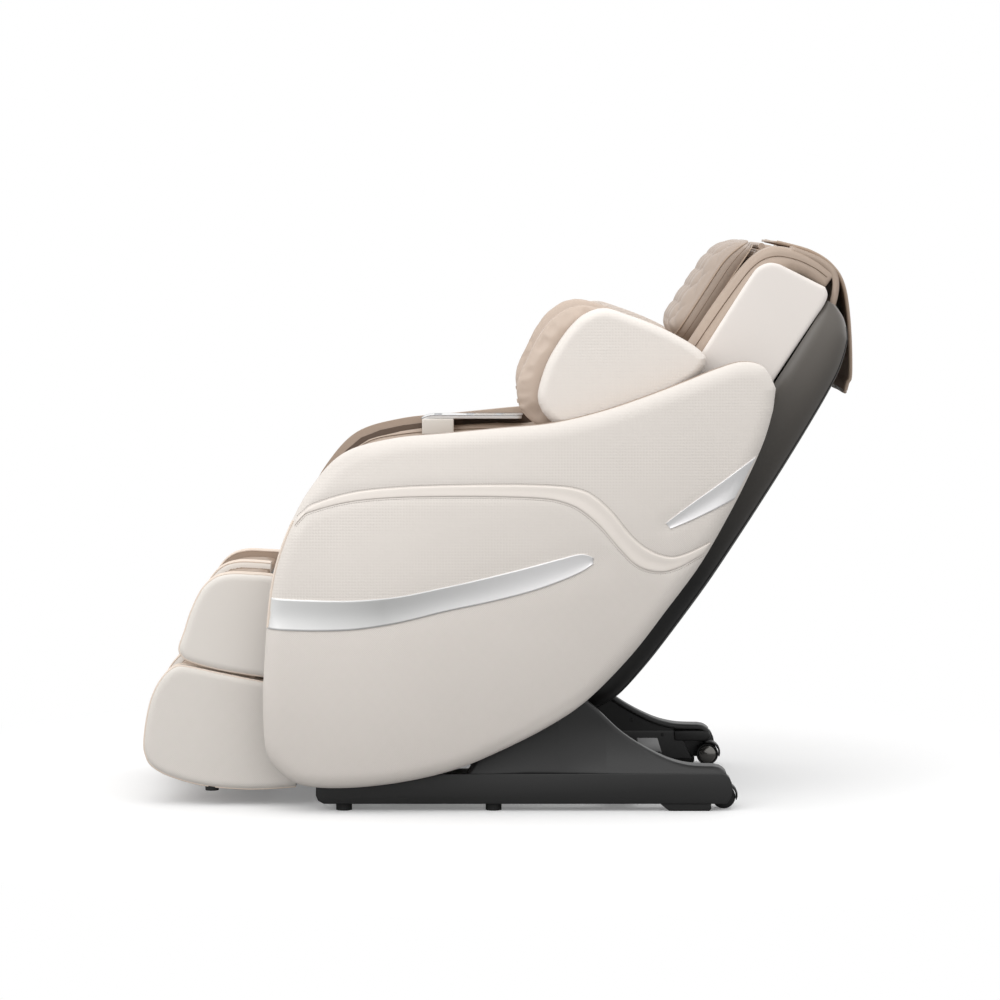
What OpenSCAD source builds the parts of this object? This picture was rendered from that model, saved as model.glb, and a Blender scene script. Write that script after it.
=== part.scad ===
// Massage chair with a calf and foot rest, on a low rocking base.
// +X points to the back of the chair, +Y to the sitter's right, +Z up.
// The origin is on the floor, in the middle of the chair's outline.

/* [Widths] */
// Half of the seat's width, between the arms
seat_half = 262; // [240:1:315]
// Thickness of each arm's inner pad
arm_w = 60; // [50:1:80]
// Greatest thickness of each crowned side panel
panel_t = 58; // [48:1:72]
// Gap from each side panel to the base inside it
base_gap = 8; // [6:1:40]
// Width of each base skid
skid_w = 58; // [54:1:66]
// Half of the leg rest's width
leg_half = 254; // [225:1:300]

/* [Backrest] */
// Angle of the backrest from upright, degrees
back_tilt = 32.7; // [30:0.1:35]
// Length of the backrest cushions
back_len = 905; // [750:1:925]
// Thickness of the backrest's front cushion
back_pad_t = 60; // [45:1:62]
// Half of the backrest's width at the shoulders
back_half = 262; // [245:1:264]
// Thickness of the head pillow
pillow_t = 88; // [74:1:104]
// Width of the head pillow
pillow_w = 336; // [280:1:344]

/* [Seat] */
// Slope of the seat towards the back, degrees
seat_slope = 7; // [5:0.5:9]
// Length of the seat cushion
seat_len = 458; // [400:1:462]
// Thickness of the seat cushion
seat_t = 72; // [60:1:80]
// Thickness of the board under the seat cushion
board_t = 12; // [9:1:15]

/* [Base and wheels] */
// Height of the skid's straight side band
band_top = 71; // [64:1:76]
// Radius of the transport wheels
wheel_r = 22; // [19:0.5:24]
// Width of the transport wheels
wheel_w = 22; // [16:0.5:24]
// Radius of the recline pivot pins
pivot_r = 12; // [9:0.5:15]
// Radius of the tubes that join the frame
tube_r = 15; // [12:0.5:17]
// Thickness of the steel side plates
plate_t = 8; // [6:0.5:9]

/* [Leg rest] */
// Radius of the knee hinge pins
knee_r = 9; // [7:0.5:12]
// Thickness of the leg rest's outer walls
leg_wall = 32; // [26:1:40]
// Thickness of the wall between the legs
divider_w = 36; // [30:1:44]
// Radius of the foot unit's slide rods
rod_r = 8; // [6:0.5:9]
// How far the foot unit slides out
foot_travel = 90; // [70:1:95]

/* [Fits] */
// Gap round a shaft that turns or slides, on the radius
run_gap = 0.08; // [0.03:0.01:0.1]
// Gap between neighbouring covers and cushions
fit_gap = 0.3; // [0.3:0.1:0.6]
// Thickness of the moulded liner inside each side panel
liner_t = 3; // [2:0.5:4]
// Gap from a curved trim to the crowned panel under it
trim_gap = 1.2; // [1:0.1:1.6]

/* [Hidden] */
$fn = 48;

// Widths that follow from the driving sizes, each measured from the middle
panel_in = seat_half + arm_w;
skid_out = panel_in - base_gap;
skid_in = skid_out - skid_w;
plate_out = min(skid_in - 12, leg_half - leg_wall - 2);
plate_in = plate_out - plate_t;

// Pivots in side view, as [x, z]
recline_pivot = [70, 225];
knee_pivot = [-415, 405];
wheel_at = [421, wheel_r];

// Lower end of the backrest, where its own frame starts
back_foot = [180, 170];
// Outlines of the back are drawn for this length; what lies above the waist moves with it
drawn_len = 905;
function lifted(p) = [for (q = p) q[1] < 540 ? q : [q[0], q[1] + back_len - drawn_len]];

// ---------- Shared shapes ----------

// Right-hand shape and its mirror image on the left
module pair() { children(); mirror([0, 1, 0]) children(); }

// A side-view outline given as [x, z], made into a plate between y0 and y1
module plate_y(y0, y1) {
    translate([0, y1, 0]) rotate([90, 0, 0]) linear_extrude(y1 - y0) children();
}

// A round bar along Y at [x, z]
module bar_y(at, r, y0, y1) {
    translate([at[0], y0, at[1]]) rotate([-90, 0, 0]) cylinder(r = r, h = y1 - y0);
}

// The backrest's own frame: local Z runs up the back, local X points to its rear
module in_back() {
    translate([back_foot[0], 0, back_foot[1]]) rotate([0, back_tilt, 0]) children();
}

// The seat's own frame: local Z is square to the seat, local X runs to its rear
seat_front = [-378, 378];
module in_seat() {
    translate([seat_front[0], 0, seat_front[1]]) rotate([0, seat_slope, 0]) children();
}

function flat(rows) = [for (row = rows) each row];
function mix(a, b, t) = a + (b - a) * t;
function clamp(v, lo, hi) = max(lo, min(hi, v));

// Smooth curve through the points of a list, with a number of steps per span
function spline(p, steps) = let (last = len(p) - 1) [
    for (i = [0 : last - 1], s = [0 : steps - 1])
        let (a = p[max(i - 1, 0)], b = p[i], c = p[i + 1], d = p[min(i + 2, last)], t = s / steps)
        b + ((c - a) * t + (2 * a - 5 * b + 4 * c - d) * t * t
            + (3 * b - a - 3 * c + d) * t * t * t) / 2,
    p[last]
];

// Value of a rule given as [x, y] points, between them on straight lines
function along(rule, x, i = 0) =
    x <= rule[0][0] ? rule[0][1] :
    i >= len(rule) - 1 ? rule[len(rule) - 1][1] :
    x <= rule[i + 1][0] ?
        mix(rule[i][1], rule[i + 1][1], (x - rule[i][0]) / (rule[i + 1][0] - rule[i][0])) :
    along(rule, x, i + 1);

// Power that keeps the sign, for rounded rectangles
function spow(v, p) = sign(v) * pow(abs(v), p);

// Closed solid between two grids of points that match, such as a panel's two faces
module grid_solid(outer, inner) {
    n = len(outer);
    m = len(outer[0]);
    far = n * m;
    rim = concat(
        [for (j = [0 : m - 1]) j],
        [for (i = [1 : n - 1]) i * m + m - 1],
        [for (j = [m - 2 : -1 : 0]) (n - 1) * m + j],
        [for (i = [n - 2 : -1 : 1]) i * m]);
    faces = concat(
        [for (i = [0 : n - 2], j = [0 : m - 2]) each
            let (a = i * m + j, b = a + 1, c = a + m, d = c + 1) [[a, b, d], [a, d, c]]],
        [for (i = [0 : n - 2], j = [0 : m - 2]) each
            let (a = far + i * m + j, b = a + 1, c = a + m, d = c + 1) [[a, d, b], [a, c, d]]],
        [for (k = [0 : len(rim) - 1]) each
            let (a = rim[k], b = rim[(k + 1) % len(rim)]) [[a, a + far, b], [b, a + far, b + far]]]);
    polyhedron(points = concat(flat(outer), flat(inner)), faces = faces, convexity = 6);
}

// Closed solid through a row of rings with equal numbers of points
module loft(rings) {
    n = len(rings);
    m = len(rings[0]);
    mid = [for (r = [rings[0], rings[n - 1]]) [for (k = [0 : 2]) sum(r, k) / m]];
    faces = concat(
        [for (i = [0 : n - 2], j = [0 : m - 1]) each
            let (a = i * m + j, b = i * m + (j + 1) % m, c = a + m, d = b + m)
            [[a, b, d], [a, d, c]]],
        [for (j = [0 : m - 1]) [n * m, (j + 1) % m, j]],
        [for (j = [0 : m - 1]) [n * m + 1, (n - 1) * m + j, (n - 1) * m + (j + 1) % m]]);
    polyhedron(points = concat(flat(rings), mid), faces = faces, convexity = 6);
}
function sum(list, k, i = 0) = i == len(list) ? 0 : list[i][k] + sum(list, k, i + 1);

// One rounded-rectangle section as [across, up] pairs: half width, lower and upper edge
function section(half, low, high, count, round_side = 0.42, round_top = 0.6) = [
    for (k = [0 : count - 1]) let (a = 360 * k / count)
        [half * spow(cos(a), round_side), (low + high) / 2 + (high - low) / 2 * spow(sin(a), round_top)]
];

// ---------- Base ----------

skid_bottom = 14;
ear_r = 36;
// Side view of the ear: a concave sweep from the pivot boss down to the wheel
ear_rear = spline([[104, 236], [165, 203], [232, 142], [300, 102], [350, 86], [402, 83]], 4);
fender_r = wheel_r + 4;

module band_outline() {
    polygon([[-330, skid_bottom], [-345, 28], [-345, band_top - 8], [-337, band_top],
        [420, band_top], [433, 58], [436, 40], [430, skid_bottom + 12], [415, skid_bottom]]);
}
module ear_outline() {
    difference() {
        union() {
            polygon(concat([[-60, band_top], [34, 225], [70, 225]], ear_rear,
                [[420, 74], [424, band_top]]));
            translate(recline_pivot) circle(r = ear_r);
        }
        translate(recline_pivot) circle(r = pivot_r + run_gap);
    }
}
module fender_outline() {
    intersection() {
        difference() {
            translate(wheel_at) circle(r = fender_r + 3);
            translate(wheel_at) circle(r = fender_r);
        }
        translate([wheel_at[0] - 40, wheel_at[1] + 6]) square([80, 40]);
    }
}

// One skid cover: outer band, swept ear and the thin hood over the wheel.
// The band's inner part stops ahead of the wheel, which runs inside the skid.
module skid() {
    pocket_x = wheel_at[0] - wheel_r - 9;
    union() {
        plate_y(skid_in + wheel_w + 6, skid_out) band_outline();
        plate_y(skid_in, skid_in + wheel_w + 6) intersection() {
            band_outline();
            translate([-360, 0]) square([360 + pocket_x, 200]);
        }
        difference() {
            plate_y(skid_in, skid_out - 8) ear_outline();
            // Wheel pocket, open to the inside
            translate([pocket_x, skid_in - 1, -1])
                cube([80, wheel_w + 7, wheel_at[1] + fender_r + 1.5]);
        }
        plate_y(skid_in + 1, skid_in + wheel_w + 6) fender_outline();
        // Foot block under the wheel end
        plate_y(skid_in + wheel_w + 8, skid_out - 4)
            polygon([[300, skid_bottom], [312, 4], [318, 0], [392, 0], [396, 4], [396, skid_bottom]]);
    }
}
module right_base_skid() color([0.17, 0.17, 0.17]) difference() {
    skid();
    bar_y(wheel_at, axle_r + run_gap, skid_in - 1, skid_in + wheel_w + 20);
}
module left_base_skid() mirror([0, 1, 0]) right_base_skid();

axle_r = 5;
axle_end = skid_in + wheel_w + 18;
wheel_y = skid_in + 3;
module wheel_axles() color("silver") pair()
    bar_y(wheel_at, axle_r, wheel_y + 5, axle_end);

// Wheel with a tyre band and a domed inner hub, bored for its axle from the outside
module wheel() {
    difference() {
        translate([wheel_at[0], wheel_y, wheel_at[1]]) rotate([-90, 0, 0]) rotate_extrude()
            polygon(concat(
                [[0, -6], [5, -5.4], [10, -3.6], [14, -0.6], [15.5, 1], [17, 1], [18.5, 0]],
                [[wheel_r - 2, 0], [wheel_r, 2], [wheel_r, wheel_w - 2], [wheel_r - 2, wheel_w],
                [0, wheel_w]]));
        bar_y(wheel_at, axle_r + run_gap, wheel_y + 5 - fit_gap, wheel_y + wheel_w + 1);
    }
}
module right_wheel() color([0.12, 0.12, 0.12]) wheel();
module left_wheel() color([0.12, 0.12, 0.12]) mirror([0, 1, 0]) wheel();

// Three steel crossbars between the skids, with the actuator's base rail
bar_x = [-300, -200, 250];
module base_cross_frame() color([0.2, 0.2, 0.21]) {
    for (x = bar_x) translate([x - 20, -skid_in, 25]) cube([40, 2 * skid_in, 25]);
    for (y = [-110, 90]) translate([bar_x[0] + 20, y, 27])
        cube([bar_x[1] - bar_x[0] - 40, 20, 20]);
    for (y = [-110, 90]) translate([bar_x[1] + 20, y, 27])
        cube([bar_x[2] - bar_x[1] - 40, 20, 20]);
}

// Round rubber feet under the front and middle of the skids
module base_feet() color([0.1, 0.1, 0.1]) pair()
    for (x = [-293, -12]) translate([x, (skid_in + skid_out) / 2 + 6, 0])
        cylinder(r = 15, h = skid_bottom);

// Two stub pins that carry the rocking body
module pivot_pins() color("silver") pair() {
    bar_y(recline_pivot, pivot_r, plate_in - 6, skid_out - 8);
    bar_y(recline_pivot, pivot_r + 6, plate_out + 1, skid_in);
}

// Box across the rear of the base, with the mains inlet and switch on its back
box_x = [bar_x[2] + 20 + fit_gap, 312];
box_z = [24, 80];
box_half = 92;
inlet_y = 40;
rocker_y = -30;
rocker_z = 54;
module power_box() color([0.13, 0.13, 0.13]) difference() {
    translate([box_x[0], -box_half, box_z[0]])
        cube([box_x[1] - box_x[0], 2 * box_half, box_z[1] - box_z[0]]);
    translate([box_x[1] - 24, inlet_y - 14, 42]) cube([30, 28, 24]);
    translate([box_x[1] - 16, rocker_y - 15, rocker_z - 12]) cube([20, 30, 24]);
}
// Three-pin inlet, open to the rear
module power_inlet() color([0.08, 0.08, 0.08]) {
    difference() {
        translate([box_x[1] - 23, inlet_y - 13.7, 42.3]) cube([25, 27.4, 23.4]);
        translate([box_x[1] - 16, inlet_y - 11.5, 45]) cube([20, 23, 18]);
    }
    for (d = [[-7, 51], [7, 51], [0, 57]])
        translate([box_x[1] - 16, inlet_y + d[0] - 1, d[1] - 2]) cube([13, 2, 4]);
}
// Rocker switch on a short cross pin inside the switch pocket
module power_rocker() color([0.05, 0.05, 0.05])
    plate_y(rocker_y - 15 + fit_gap, rocker_y + 15 - fit_gap)
        polygon([[box_x[1] - 9, 44], [box_x[1] - 1, 45], [box_x[1] + 1.5, 49], [box_x[1] - 1, rocker_z],
            [box_x[1] + 1.5, 59], [box_x[1] - 1, 63], [box_x[1] - 9, 64]]);

// ---------- Recline drive ----------

// The drive pushes from the base's middle crossbar to a lug under the seat
push_foot = [-200, 82];
push_lug = [-110, 300];
push_run = norm(push_lug - push_foot);
push_angle = atan2(push_lug[0] - push_foot[0], push_lug[1] - push_foot[1]);
drive_pin_r = 6;
tube_wall_r = 17;
lug_slack = 4;
module recline_motor_bracket() color([0.3, 0.3, 0.32]) {
    for (y = [-26, 20]) plate_y(y, y + 6) difference() {
        polygon([[-222, 50], [-178, 50], [-186, 92], [-214, 92]]);
        translate(push_foot) circle(r = drive_pin_r);
    }
    bar_y(push_foot, drive_pin_r, -28, 28);
}
// Frame along the drive: local Z runs from its foot to the lug
module in_drive() {
    translate([push_foot[0], 0, push_foot[1]]) rotate([0, push_angle, 0]) children();
}
module recline_actuator_tube() color([0.22, 0.22, 0.24]) difference() {
    union() {
        bar_y(push_foot, 14, -19.5, 19.5);
        in_drive() translate([0, 0, 12]) cylinder(r = tube_wall_r, h = push_run - 60);
        in_drive() translate([18, -18, 20]) cube([40, 36, 70]);
        in_drive() translate([14, -14, 24]) cube([8, 28, 40]);
    }
    bar_y(push_foot, drive_pin_r + run_gap, -30, 30);
    in_drive() translate([0, 0, 40]) cylinder(r = 11, h = push_run);
}
module recline_actuator_rod() color("silver") difference() {
    union() {
        in_drive() translate([0, 0, 92]) cylinder(r = 11 - run_gap, h = push_run - 92 - 8);
        bar_y(push_lug, drive_pin_r + lug_slack + 7, -12, 12);
    }
    bar_y(push_lug, drive_pin_r + lug_slack, -13, 13);
}

// ---------- Frame of the rocking body ----------

// Height of the seat board's underside at x
function board_under(x) = seat_front[1] - (x - seat_front[0]) * tan(seat_slope)
    - board_t / cos(seat_slope) - fit_gap;
rail_in_lx = -115;
rail_half = 18;
module side_plate_outline() difference() {
    union() {
        polygon([
            [-434, 400], [-396, 400], [-392, 358], [-372, board_under(-372)],
            [62, board_under(62) - 2], [76, 306], [92, 326], [150, 380], [168, 362], [120, 264],
            [104, 236], [70, 192], [34, 225], [-40, 238], [-330, 238], [-400, 290], [-430, 340]]);
        translate(recline_pivot) circle(r = 33);
        translate(knee_pivot) circle(r = 20);
    }
    translate(recline_pivot) circle(r = pivot_r + run_gap);
    translate(knee_pivot) circle(r = knee_r + run_gap);
}
module side_plates() color([0.25, 0.25, 0.27]) pair()
    plate_y(plate_in, plate_out) side_plate_outline();

// Three tubes between the plates; the middle one carries the recline drive's lug
tube_at = [[-300, 262], [-70, 300], [30, 285]];
lug_y = [14, 20];
module frame_cross_tubes() color([0.25, 0.25, 0.27]) {
    for (at = tube_at) bar_y(at, tube_r, -plate_in, plate_in);
    pair() plate_y(lug_y[0], lug_y[1]) difference() {
        union() {
            translate(push_lug) circle(r = 13);
            polygon([[-110, 287], [tube_at[1][0] - 4, 288], [tube_at[1][0] - 4, 312], [-110, 313]]);
        }
        translate(push_lug) circle(r = drive_pin_r);
    }
    bar_y(push_lug, drive_pin_r, -lug_y[1] - 2, lug_y[1] + 2);
}

// Crossbars of the back, and the line of the carriage's screw
cross_lz = [114, back_len - 80];
screw_lx = -96;
// Two rails up the back, with crossbars at the shoulders and the head
module back_uprights() color([0.25, 0.25, 0.27]) in_back() {
    for (s = [-1, 1]) translate([rail_in_lx - rail_half, s > 0 ? plate_in - 25 : -plate_in, 60])
        cube([2 * rail_half, 25, back_len - 85]);
    for (lz = cross_lz) translate([pad_rear + fit_gap, -plate_in + 25, lz])
        cube([screw_lx + 14 - pad_rear - fit_gap, 2 * plate_in - 50, 40]);
    // Posts that hold the shell
    for (y = [-60, 60], p = [[cross_lz[0] + 20, -4], [cross_lz[1] + 10, 4 + drawn_len - back_len]])
        translate([screw_lx, y, p[0]]) rotate([0, 90, 0])
            cylinder(r = 4, h = along(shell_rear, p[0] + p[1]) - shell_t - 0.55 - screw_lx);
}

// Round spacers that carry each arm and side panel outside the base
module arm_brackets() color([0.25, 0.25, 0.27]) pair() {
    for (at = [[-310, 318], [-90, 300]]) difference() {
        bar_y(at, 13, plate_out, liner_in);
        bar_y(at, 9, plate_out - 1, liner_in + 1);
    }
    in_back() translate([rail_in_lx, plate_in, 205]) rotate([-90, 0, 0]) difference() {
        cylinder(r = 13, h = liner_in - plate_in);
        translate([0, 0, -1]) cylinder(r = 9, h = liner_in - plate_in + 2);
    }
}
// Steel arms from the uprights to the shoulder bolsters
shoulder_plate_y = back_half + 3;
module shoulder_brackets() color([0.25, 0.25, 0.27]) pair() in_back() {
    translate([rail_in_lx, plate_in, 520]) rotate([-90, 0, 0])
        cylinder(r = 13, h = shoulder_plate_y - plate_in);
    plate_y(shoulder_plate_y, shoulder_plate_y + 6)
        polygon([[rail_in_lx + 18, 500], [rail_in_lx + 18, 545], [-250, 640], [-290, 640], [-290, 600],
            [-150, 500]]);
}

module seat_board() color([0.72, 0.6, 0.45]) in_seat()
    translate([0, -plate_out, -board_t]) cube([seat_len - 12, 2 * plate_out, board_t]);

// Seat cushion: crowned top, rolled front edge and two cross channels
seat_rows = 22;
module seat_cushion() color([0.76, 0.68, 0.6]) in_seat() loft([
    for (i = [0 : seat_rows]) let (
        u = i / seat_rows,
        end = pow(max(0, 1 - pow(abs(2 * u - 1), 6)), 0.5),
        dip = 7 * exp(-pow((u - 0.36) / 0.025, 2)) + 7 * exp(-pow((u - 0.68) / 0.025, 2)),
        top = mix(0.45, 1, end) * seat_t - dip,
        half = (seat_half - 4) * mix(0.965, 1, end))
    [for (p = section(half, 0, top, 28)) [u * seat_len, p[0], max(p[1], 0)]]
]);

// ---------- Side panels ----------

// Side view of a panel as two chains of points from its front tip to its rear lobe
panel_top = spline([[-441, 225], [-433, 350], [-420, 450], [-392, 535], [-350, 612], [-290, 674],
    [-200, 701], [-100, 711], [0, 721], [98, 731], [190, 753], [270, 780], [340, 807],
    [400, 831], [448, 844], [488, 834], [509, 795]], 2);
panel_low = spline([[-441, 195], [-436, 120], [-413, 80], [-370, 53], [-290, 48], [-185, 59],
    [-85, 82], [0, 117], [90, 163], [164, 214], [244, 297], [310, 384], [370, 467],
    [420, 555], [460, 635], [488, 700], [504, 755]], 2);
panel_edge = concat(panel_top, [for (i = [len(panel_low) - 1 : -1 : 0]) panel_low[i]]);

function to_segment(p, a, b) =
    let (ab = b - a, t = clamp(((p - a) * ab) / max(ab * ab, 0.001), 0, 1)) norm(p - a - ab * t);
function to_edge(p) = min([for (i = [0 : len(panel_edge) - 1])
    to_segment(p, panel_edge[i], panel_edge[(i + 1) % len(panel_edge)])]);

// The panel's crown: an edge, a roll inside it and a long low dome along the middle
rim_t = 12;
roll_t = 16;
roll_r = 28;
dome_t = panel_t - rim_t - roll_t;
spine = [[-250, 330], [360, 690]];
function panel_depth(p) = let (
    d = min(to_edge(p), roll_r) / roll_r,
    s = to_segment(p, spine[0], spine[1]) / 300)
    rim_t + roll_t * sqrt(max(0, 1 - pow(1 - d, 2))) + dome_t * max(0, 1 - s * s);
function on_panel(p, lift) = [p[0], panel_in + panel_depth(p) + lift, p[1]];

panel_rows = 10;
function panel_v(j) = (1 - cos(180 * j / panel_rows)) / 2;
module side_panel() {
    grid = [for (i = [0 : len(panel_top) - 1]) [for (j = [0 : panel_rows])
        mix(panel_top[i], panel_low[i], panel_v(j))]];
    grid_solid(
        [for (row = grid) [for (p = row) on_panel(p, 0)]],
        [for (row = grid) [for (p = row) [p[0], panel_in, p[1]]]]);
}
module right_side_panel() color([0.91, 0.88, 0.85]) side_panel();
module left_side_panel() color([0.91, 0.88, 0.85]) mirror([0, 1, 0]) side_panel();

// Flat moulded liners that close the side panels' inner faces
liner_in = panel_in - liner_t - fit_gap;
module side_liners() color([0.2, 0.2, 0.2]) pair()
    plate_y(liner_in, panel_in - fit_gap) offset(delta = -14) polygon(panel_edge);

// A thin strip on the crowned panel, between two side-view curves
module strip(top, low, thick, across = 3) {
    grid = [for (i = [0 : len(top) - 1]) [for (j = [0 : across]) mix(top[i], low[i], j / across)]];
    grid_solid(
        [for (row = grid) [for (p = row) on_panel(p, trim_gap + thick)]],
        [for (row = grid) [for (p = row) on_panel(p, trim_gap)]]);
}
stripe_top = spline([[-374, 556], [-362, 567], [-344, 580], [-280, 600], [-205, 610], [-110, 615],
    [0, 617], [80, 616], [135, 611], [170, 598], [205, 567], [242, 522], [275, 496], [312, 483],
    [342, 488], [375, 503], [390, 511]], 2);
stripe_low = spline([[-380, 541], [-367, 556], [-352, 566], [-286, 584], [-208, 593], [-110, 596],
    [0, 596], [76, 593], [112, 587], [146, 573], [185, 541], [222, 498], [256, 466], [296, 456],
    [330, 464], [362, 481], [377, 489]], 2);
module side_stripes() color([0.95, 0.91, 0.86]) pair() strip(stripe_top, stripe_low, 2, 2);

front_trim_top = spline([[-420, 408], [-410, 407], [-396, 406], [-340, 404], [-268, 404],
    [-190, 411], [-110, 427], [-30, 445], [50, 465], [110, 481], [150, 490], [173, 483]], 2);
front_trim_low = spline([[-427, 350], [-416, 349], [-400, 348], [-340, 347], [-268, 350],
    [-190, 362], [-100, 384], [-20, 401], [55, 420], [112, 440], [150, 457], [170, 470]], 2);
module front_trims() color([0.78, 0.78, 0.8]) pair() strip(front_trim_top, front_trim_low, 3);

rear_trim_top = spline([[306, 547], [350, 581], [400, 617], [440, 647], [462, 663], [472, 670]], 2);
rear_trim_low = spline([[314, 537], [345, 549], [380, 565], [412, 581], [427, 589], [433, 592]], 2);
module rear_trims() color([0.78, 0.78, 0.8]) pair() strip(rear_trim_top, rear_trim_low, 3);

// Inner arm pads, rolled over at the top and the front
arm_top = [[-345, 600], [-310, 642], [-266, 670], [-190, 688], [-100, 698], [0, 703.5], [50, 703.6],
    [62, 712], [110, 724], [150, 736]];
arm_low = 345;
arm_rows = 20;
arm_x = [-352, 150];
module arm_pads() color([0.76, 0.68, 0.6]) pair() loft([
    for (i = [0 : arm_rows]) let (
        u = i / arm_rows,
        x = mix(arm_x[0], arm_x[1], pow(u, 1.3)),
        end = pow(max(0, 1 - pow(abs(2 * pow(u, 0.8) - 1), 8)), 0.5),
        mid = (seat_half + liner_in) / 2,
        half = ((liner_in - seat_half) / 2 - fit_gap) * mix(0.8, 1, end))
    [for (p = section(half, arm_low, mix(arm_low + 60, along(arm_top, x), mix(0.75, 1, end)), 16, 0.5, 0.3))
        [x, mid + p[0], p[1]]]
]);

// ---------- Controls on the right arm ----------

control_x = [-158, 45];
control_z = [704, 712];
control_y = [seat_half - 8, liner_in - fit_gap];
button_r = 8;
button_travel = 1.2;
button_at = [-125, -60, 0];
button_y = (control_y[0] + control_y[1]) / 2;
module rounded_box(x, y, z, r) {
    translate([0, 0, z[0]]) linear_extrude(z[1] - z[0]) union() {
        translate([x[0] + r, y[0]]) square([x[1] - x[0] - 2 * r, y[1] - y[0]]);
        translate([x[0], y[0] + r]) square([x[1] - x[0], y[1] - y[0] - 2 * r]);
        for (cx = [x[0] + r, x[1] - r], cy = [y[0] + r, y[1] - r]) translate([cx, cy]) circle(r = r);
    }
}
module control_panel() color([0.93, 0.93, 0.92]) difference() {
    rounded_box([control_x[0] + 2.5, control_x[1] - 2.5], [control_y[0] + 2.5, control_y[1] - 2.5],
        control_z, 10);
    for (x = button_at) translate([x, button_y, control_z[0] + 3])
        cylinder(r = button_r + 0.25, h = 10);
}
// Silver rim round the control panel's edge
module control_rim() color([0.8, 0.8, 0.82]) difference() {
    rounded_box(control_x, control_y, [control_z[0] + 1, control_z[1] - 1], 12);
    rounded_box([control_x[0] + 2.5, control_x[1] - 2.5], [control_y[0] + 2.5, control_y[1] - 2.5],
        [control_z[0] - 1, control_z[1] + 1], 10);
}
// Cream bracket on the arm's inner side, under the front of the panel
module control_bracket() color([0.9, 0.87, 0.83])
    translate([-157, seat_half - 10 - fit_gap, 672]) cube([64, 10, control_z[0] - 672]);
module button(i) translate([button_at[i], button_y, control_z[0] + 3 + button_travel + 0.2])
    cylinder(r = button_r, h = control_z[1] - control_z[0] - 3 - 0.2);
module power_button() color([0.6, 0.6, 0.62]) button(0);
module recline_button() color([0.6, 0.6, 0.62]) button(1);
module massage_button() color([0.6, 0.6, 0.62]) button(2);

// ---------- Backrest ----------

// Rear line of the dark shell and its half width, up the back
shell_rear = [[0, -2], [20, 12], [55, 27], [120, 38], [192, 45], [314, 52], [430, 52], [587, 50],
    [690, 47], [760, 43], [804, 37], [845, 24], [864, 12], [884, -10], [894, -34]];
shell_wide = [[0, 200], [60, 212], [250, 216], [330, 226], [430, 248], [520, 259], [600, back_half],
    [820, back_half], [894, back_half - 12]];
function up_shell(lz) = lz < 540 ? lz : lz + back_len - drawn_len;
shell_lip = -60;
shell_t = 5;
shell_across = 20;
function shell_row(lz, inset) = [for (j = [0 : shell_across]) let (
    a = 180 * j / shell_across,
    half = along(shell_wide, lz) - inset,
    depth = along(shell_rear, lz) - shell_lip - inset)
    [shell_lip + depth * pow(sin(a), 0.45), -half * spow(cos(a), 0.28), up_shell(lz)]];
shell_lz = [0, 12, 30, 55, 120, 192, 260, 330, 430, 520, 600, 690, 760, 804, 845, 864, 884, 894];
module back_shell() color([0.15, 0.14, 0.13]) in_back() grid_solid(
    [for (lz = shell_lz) shell_row(lz, 0)],
    [for (lz = shell_lz) shell_row(lz, shell_t)]);

// Front cushion of the back, crowned, with three cross channels
pad_rear = -140;
pad_z = [150, back_len + 45.3];
bolster_in = 175;
pad_rows = 26;
module back_pad() color([0.76, 0.68, 0.6]) in_back() loft([
    for (i = [0 : pad_rows]) let (
        u = i / pad_rows,
        end = pow(max(0, 1 - pow(abs(2 * u - 1), 10)), 0.5),
        dip = 6 * (exp(-pow((u - 0.25) / 0.02, 2)) + exp(-pow((u - 0.5) / 0.02, 2))),
        top = back_pad_t * mix(0.4, 1, end) - dip)
    [for (p = section((bolster_in - 3) * mix(0.96, 1, end), 0, top, 26))
        [pad_rear - p[1], p[0], mix(pad_z[0], pad_z[1], u)]]
]);

// Side bolsters: up the front of the back and over its top
bolster_out = back_half - 11;
bolster_front = spline(lifted([[-236, 150], [-238, 330], [-238, 520], [-237, 700], [-234, 800],
    [-227, 884], [-203, 927], [-160, 946], [-112, 952], [-72, 949]]), 2);
bolster_back = spline(lifted([[-142, 150], [-142, 330], [-142, 520], [-142, 700], [-142, 790],
    [-142, 840], [-140, 880], [-128, 900], [-104, 906], [-72, 908]]), 2);
module back_bolsters() color([0.76, 0.68, 0.6]) pair() in_back() {
    across = 6;
    n = len(bolster_front) - 1;
    grid = [for (i = [0 : n]) [for (j = [0 : across])
        let (p = mix(bolster_front[i], bolster_back[i], j / across), v = j / across,
            crown = sqrt(max(0, 1 - pow(abs(2 * v - 1), 3))) * mix(0.5, 1, sin(180 * i / n)))
        [p[0], p[1], crown]]];
    mid = (bolster_in + bolster_out) / 2;
    half = (bolster_out - bolster_in) / 2 - 0.5;
    grid_solid(
        [for (row = grid) [for (p = row) [p[0], mid + half * mix(0.72, 1, p[2]), p[1]]]],
        [for (row = grid) [for (p = row) [p[0], mid - half * mix(0.72, 1, p[2]), p[1]]]]);
}

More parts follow.
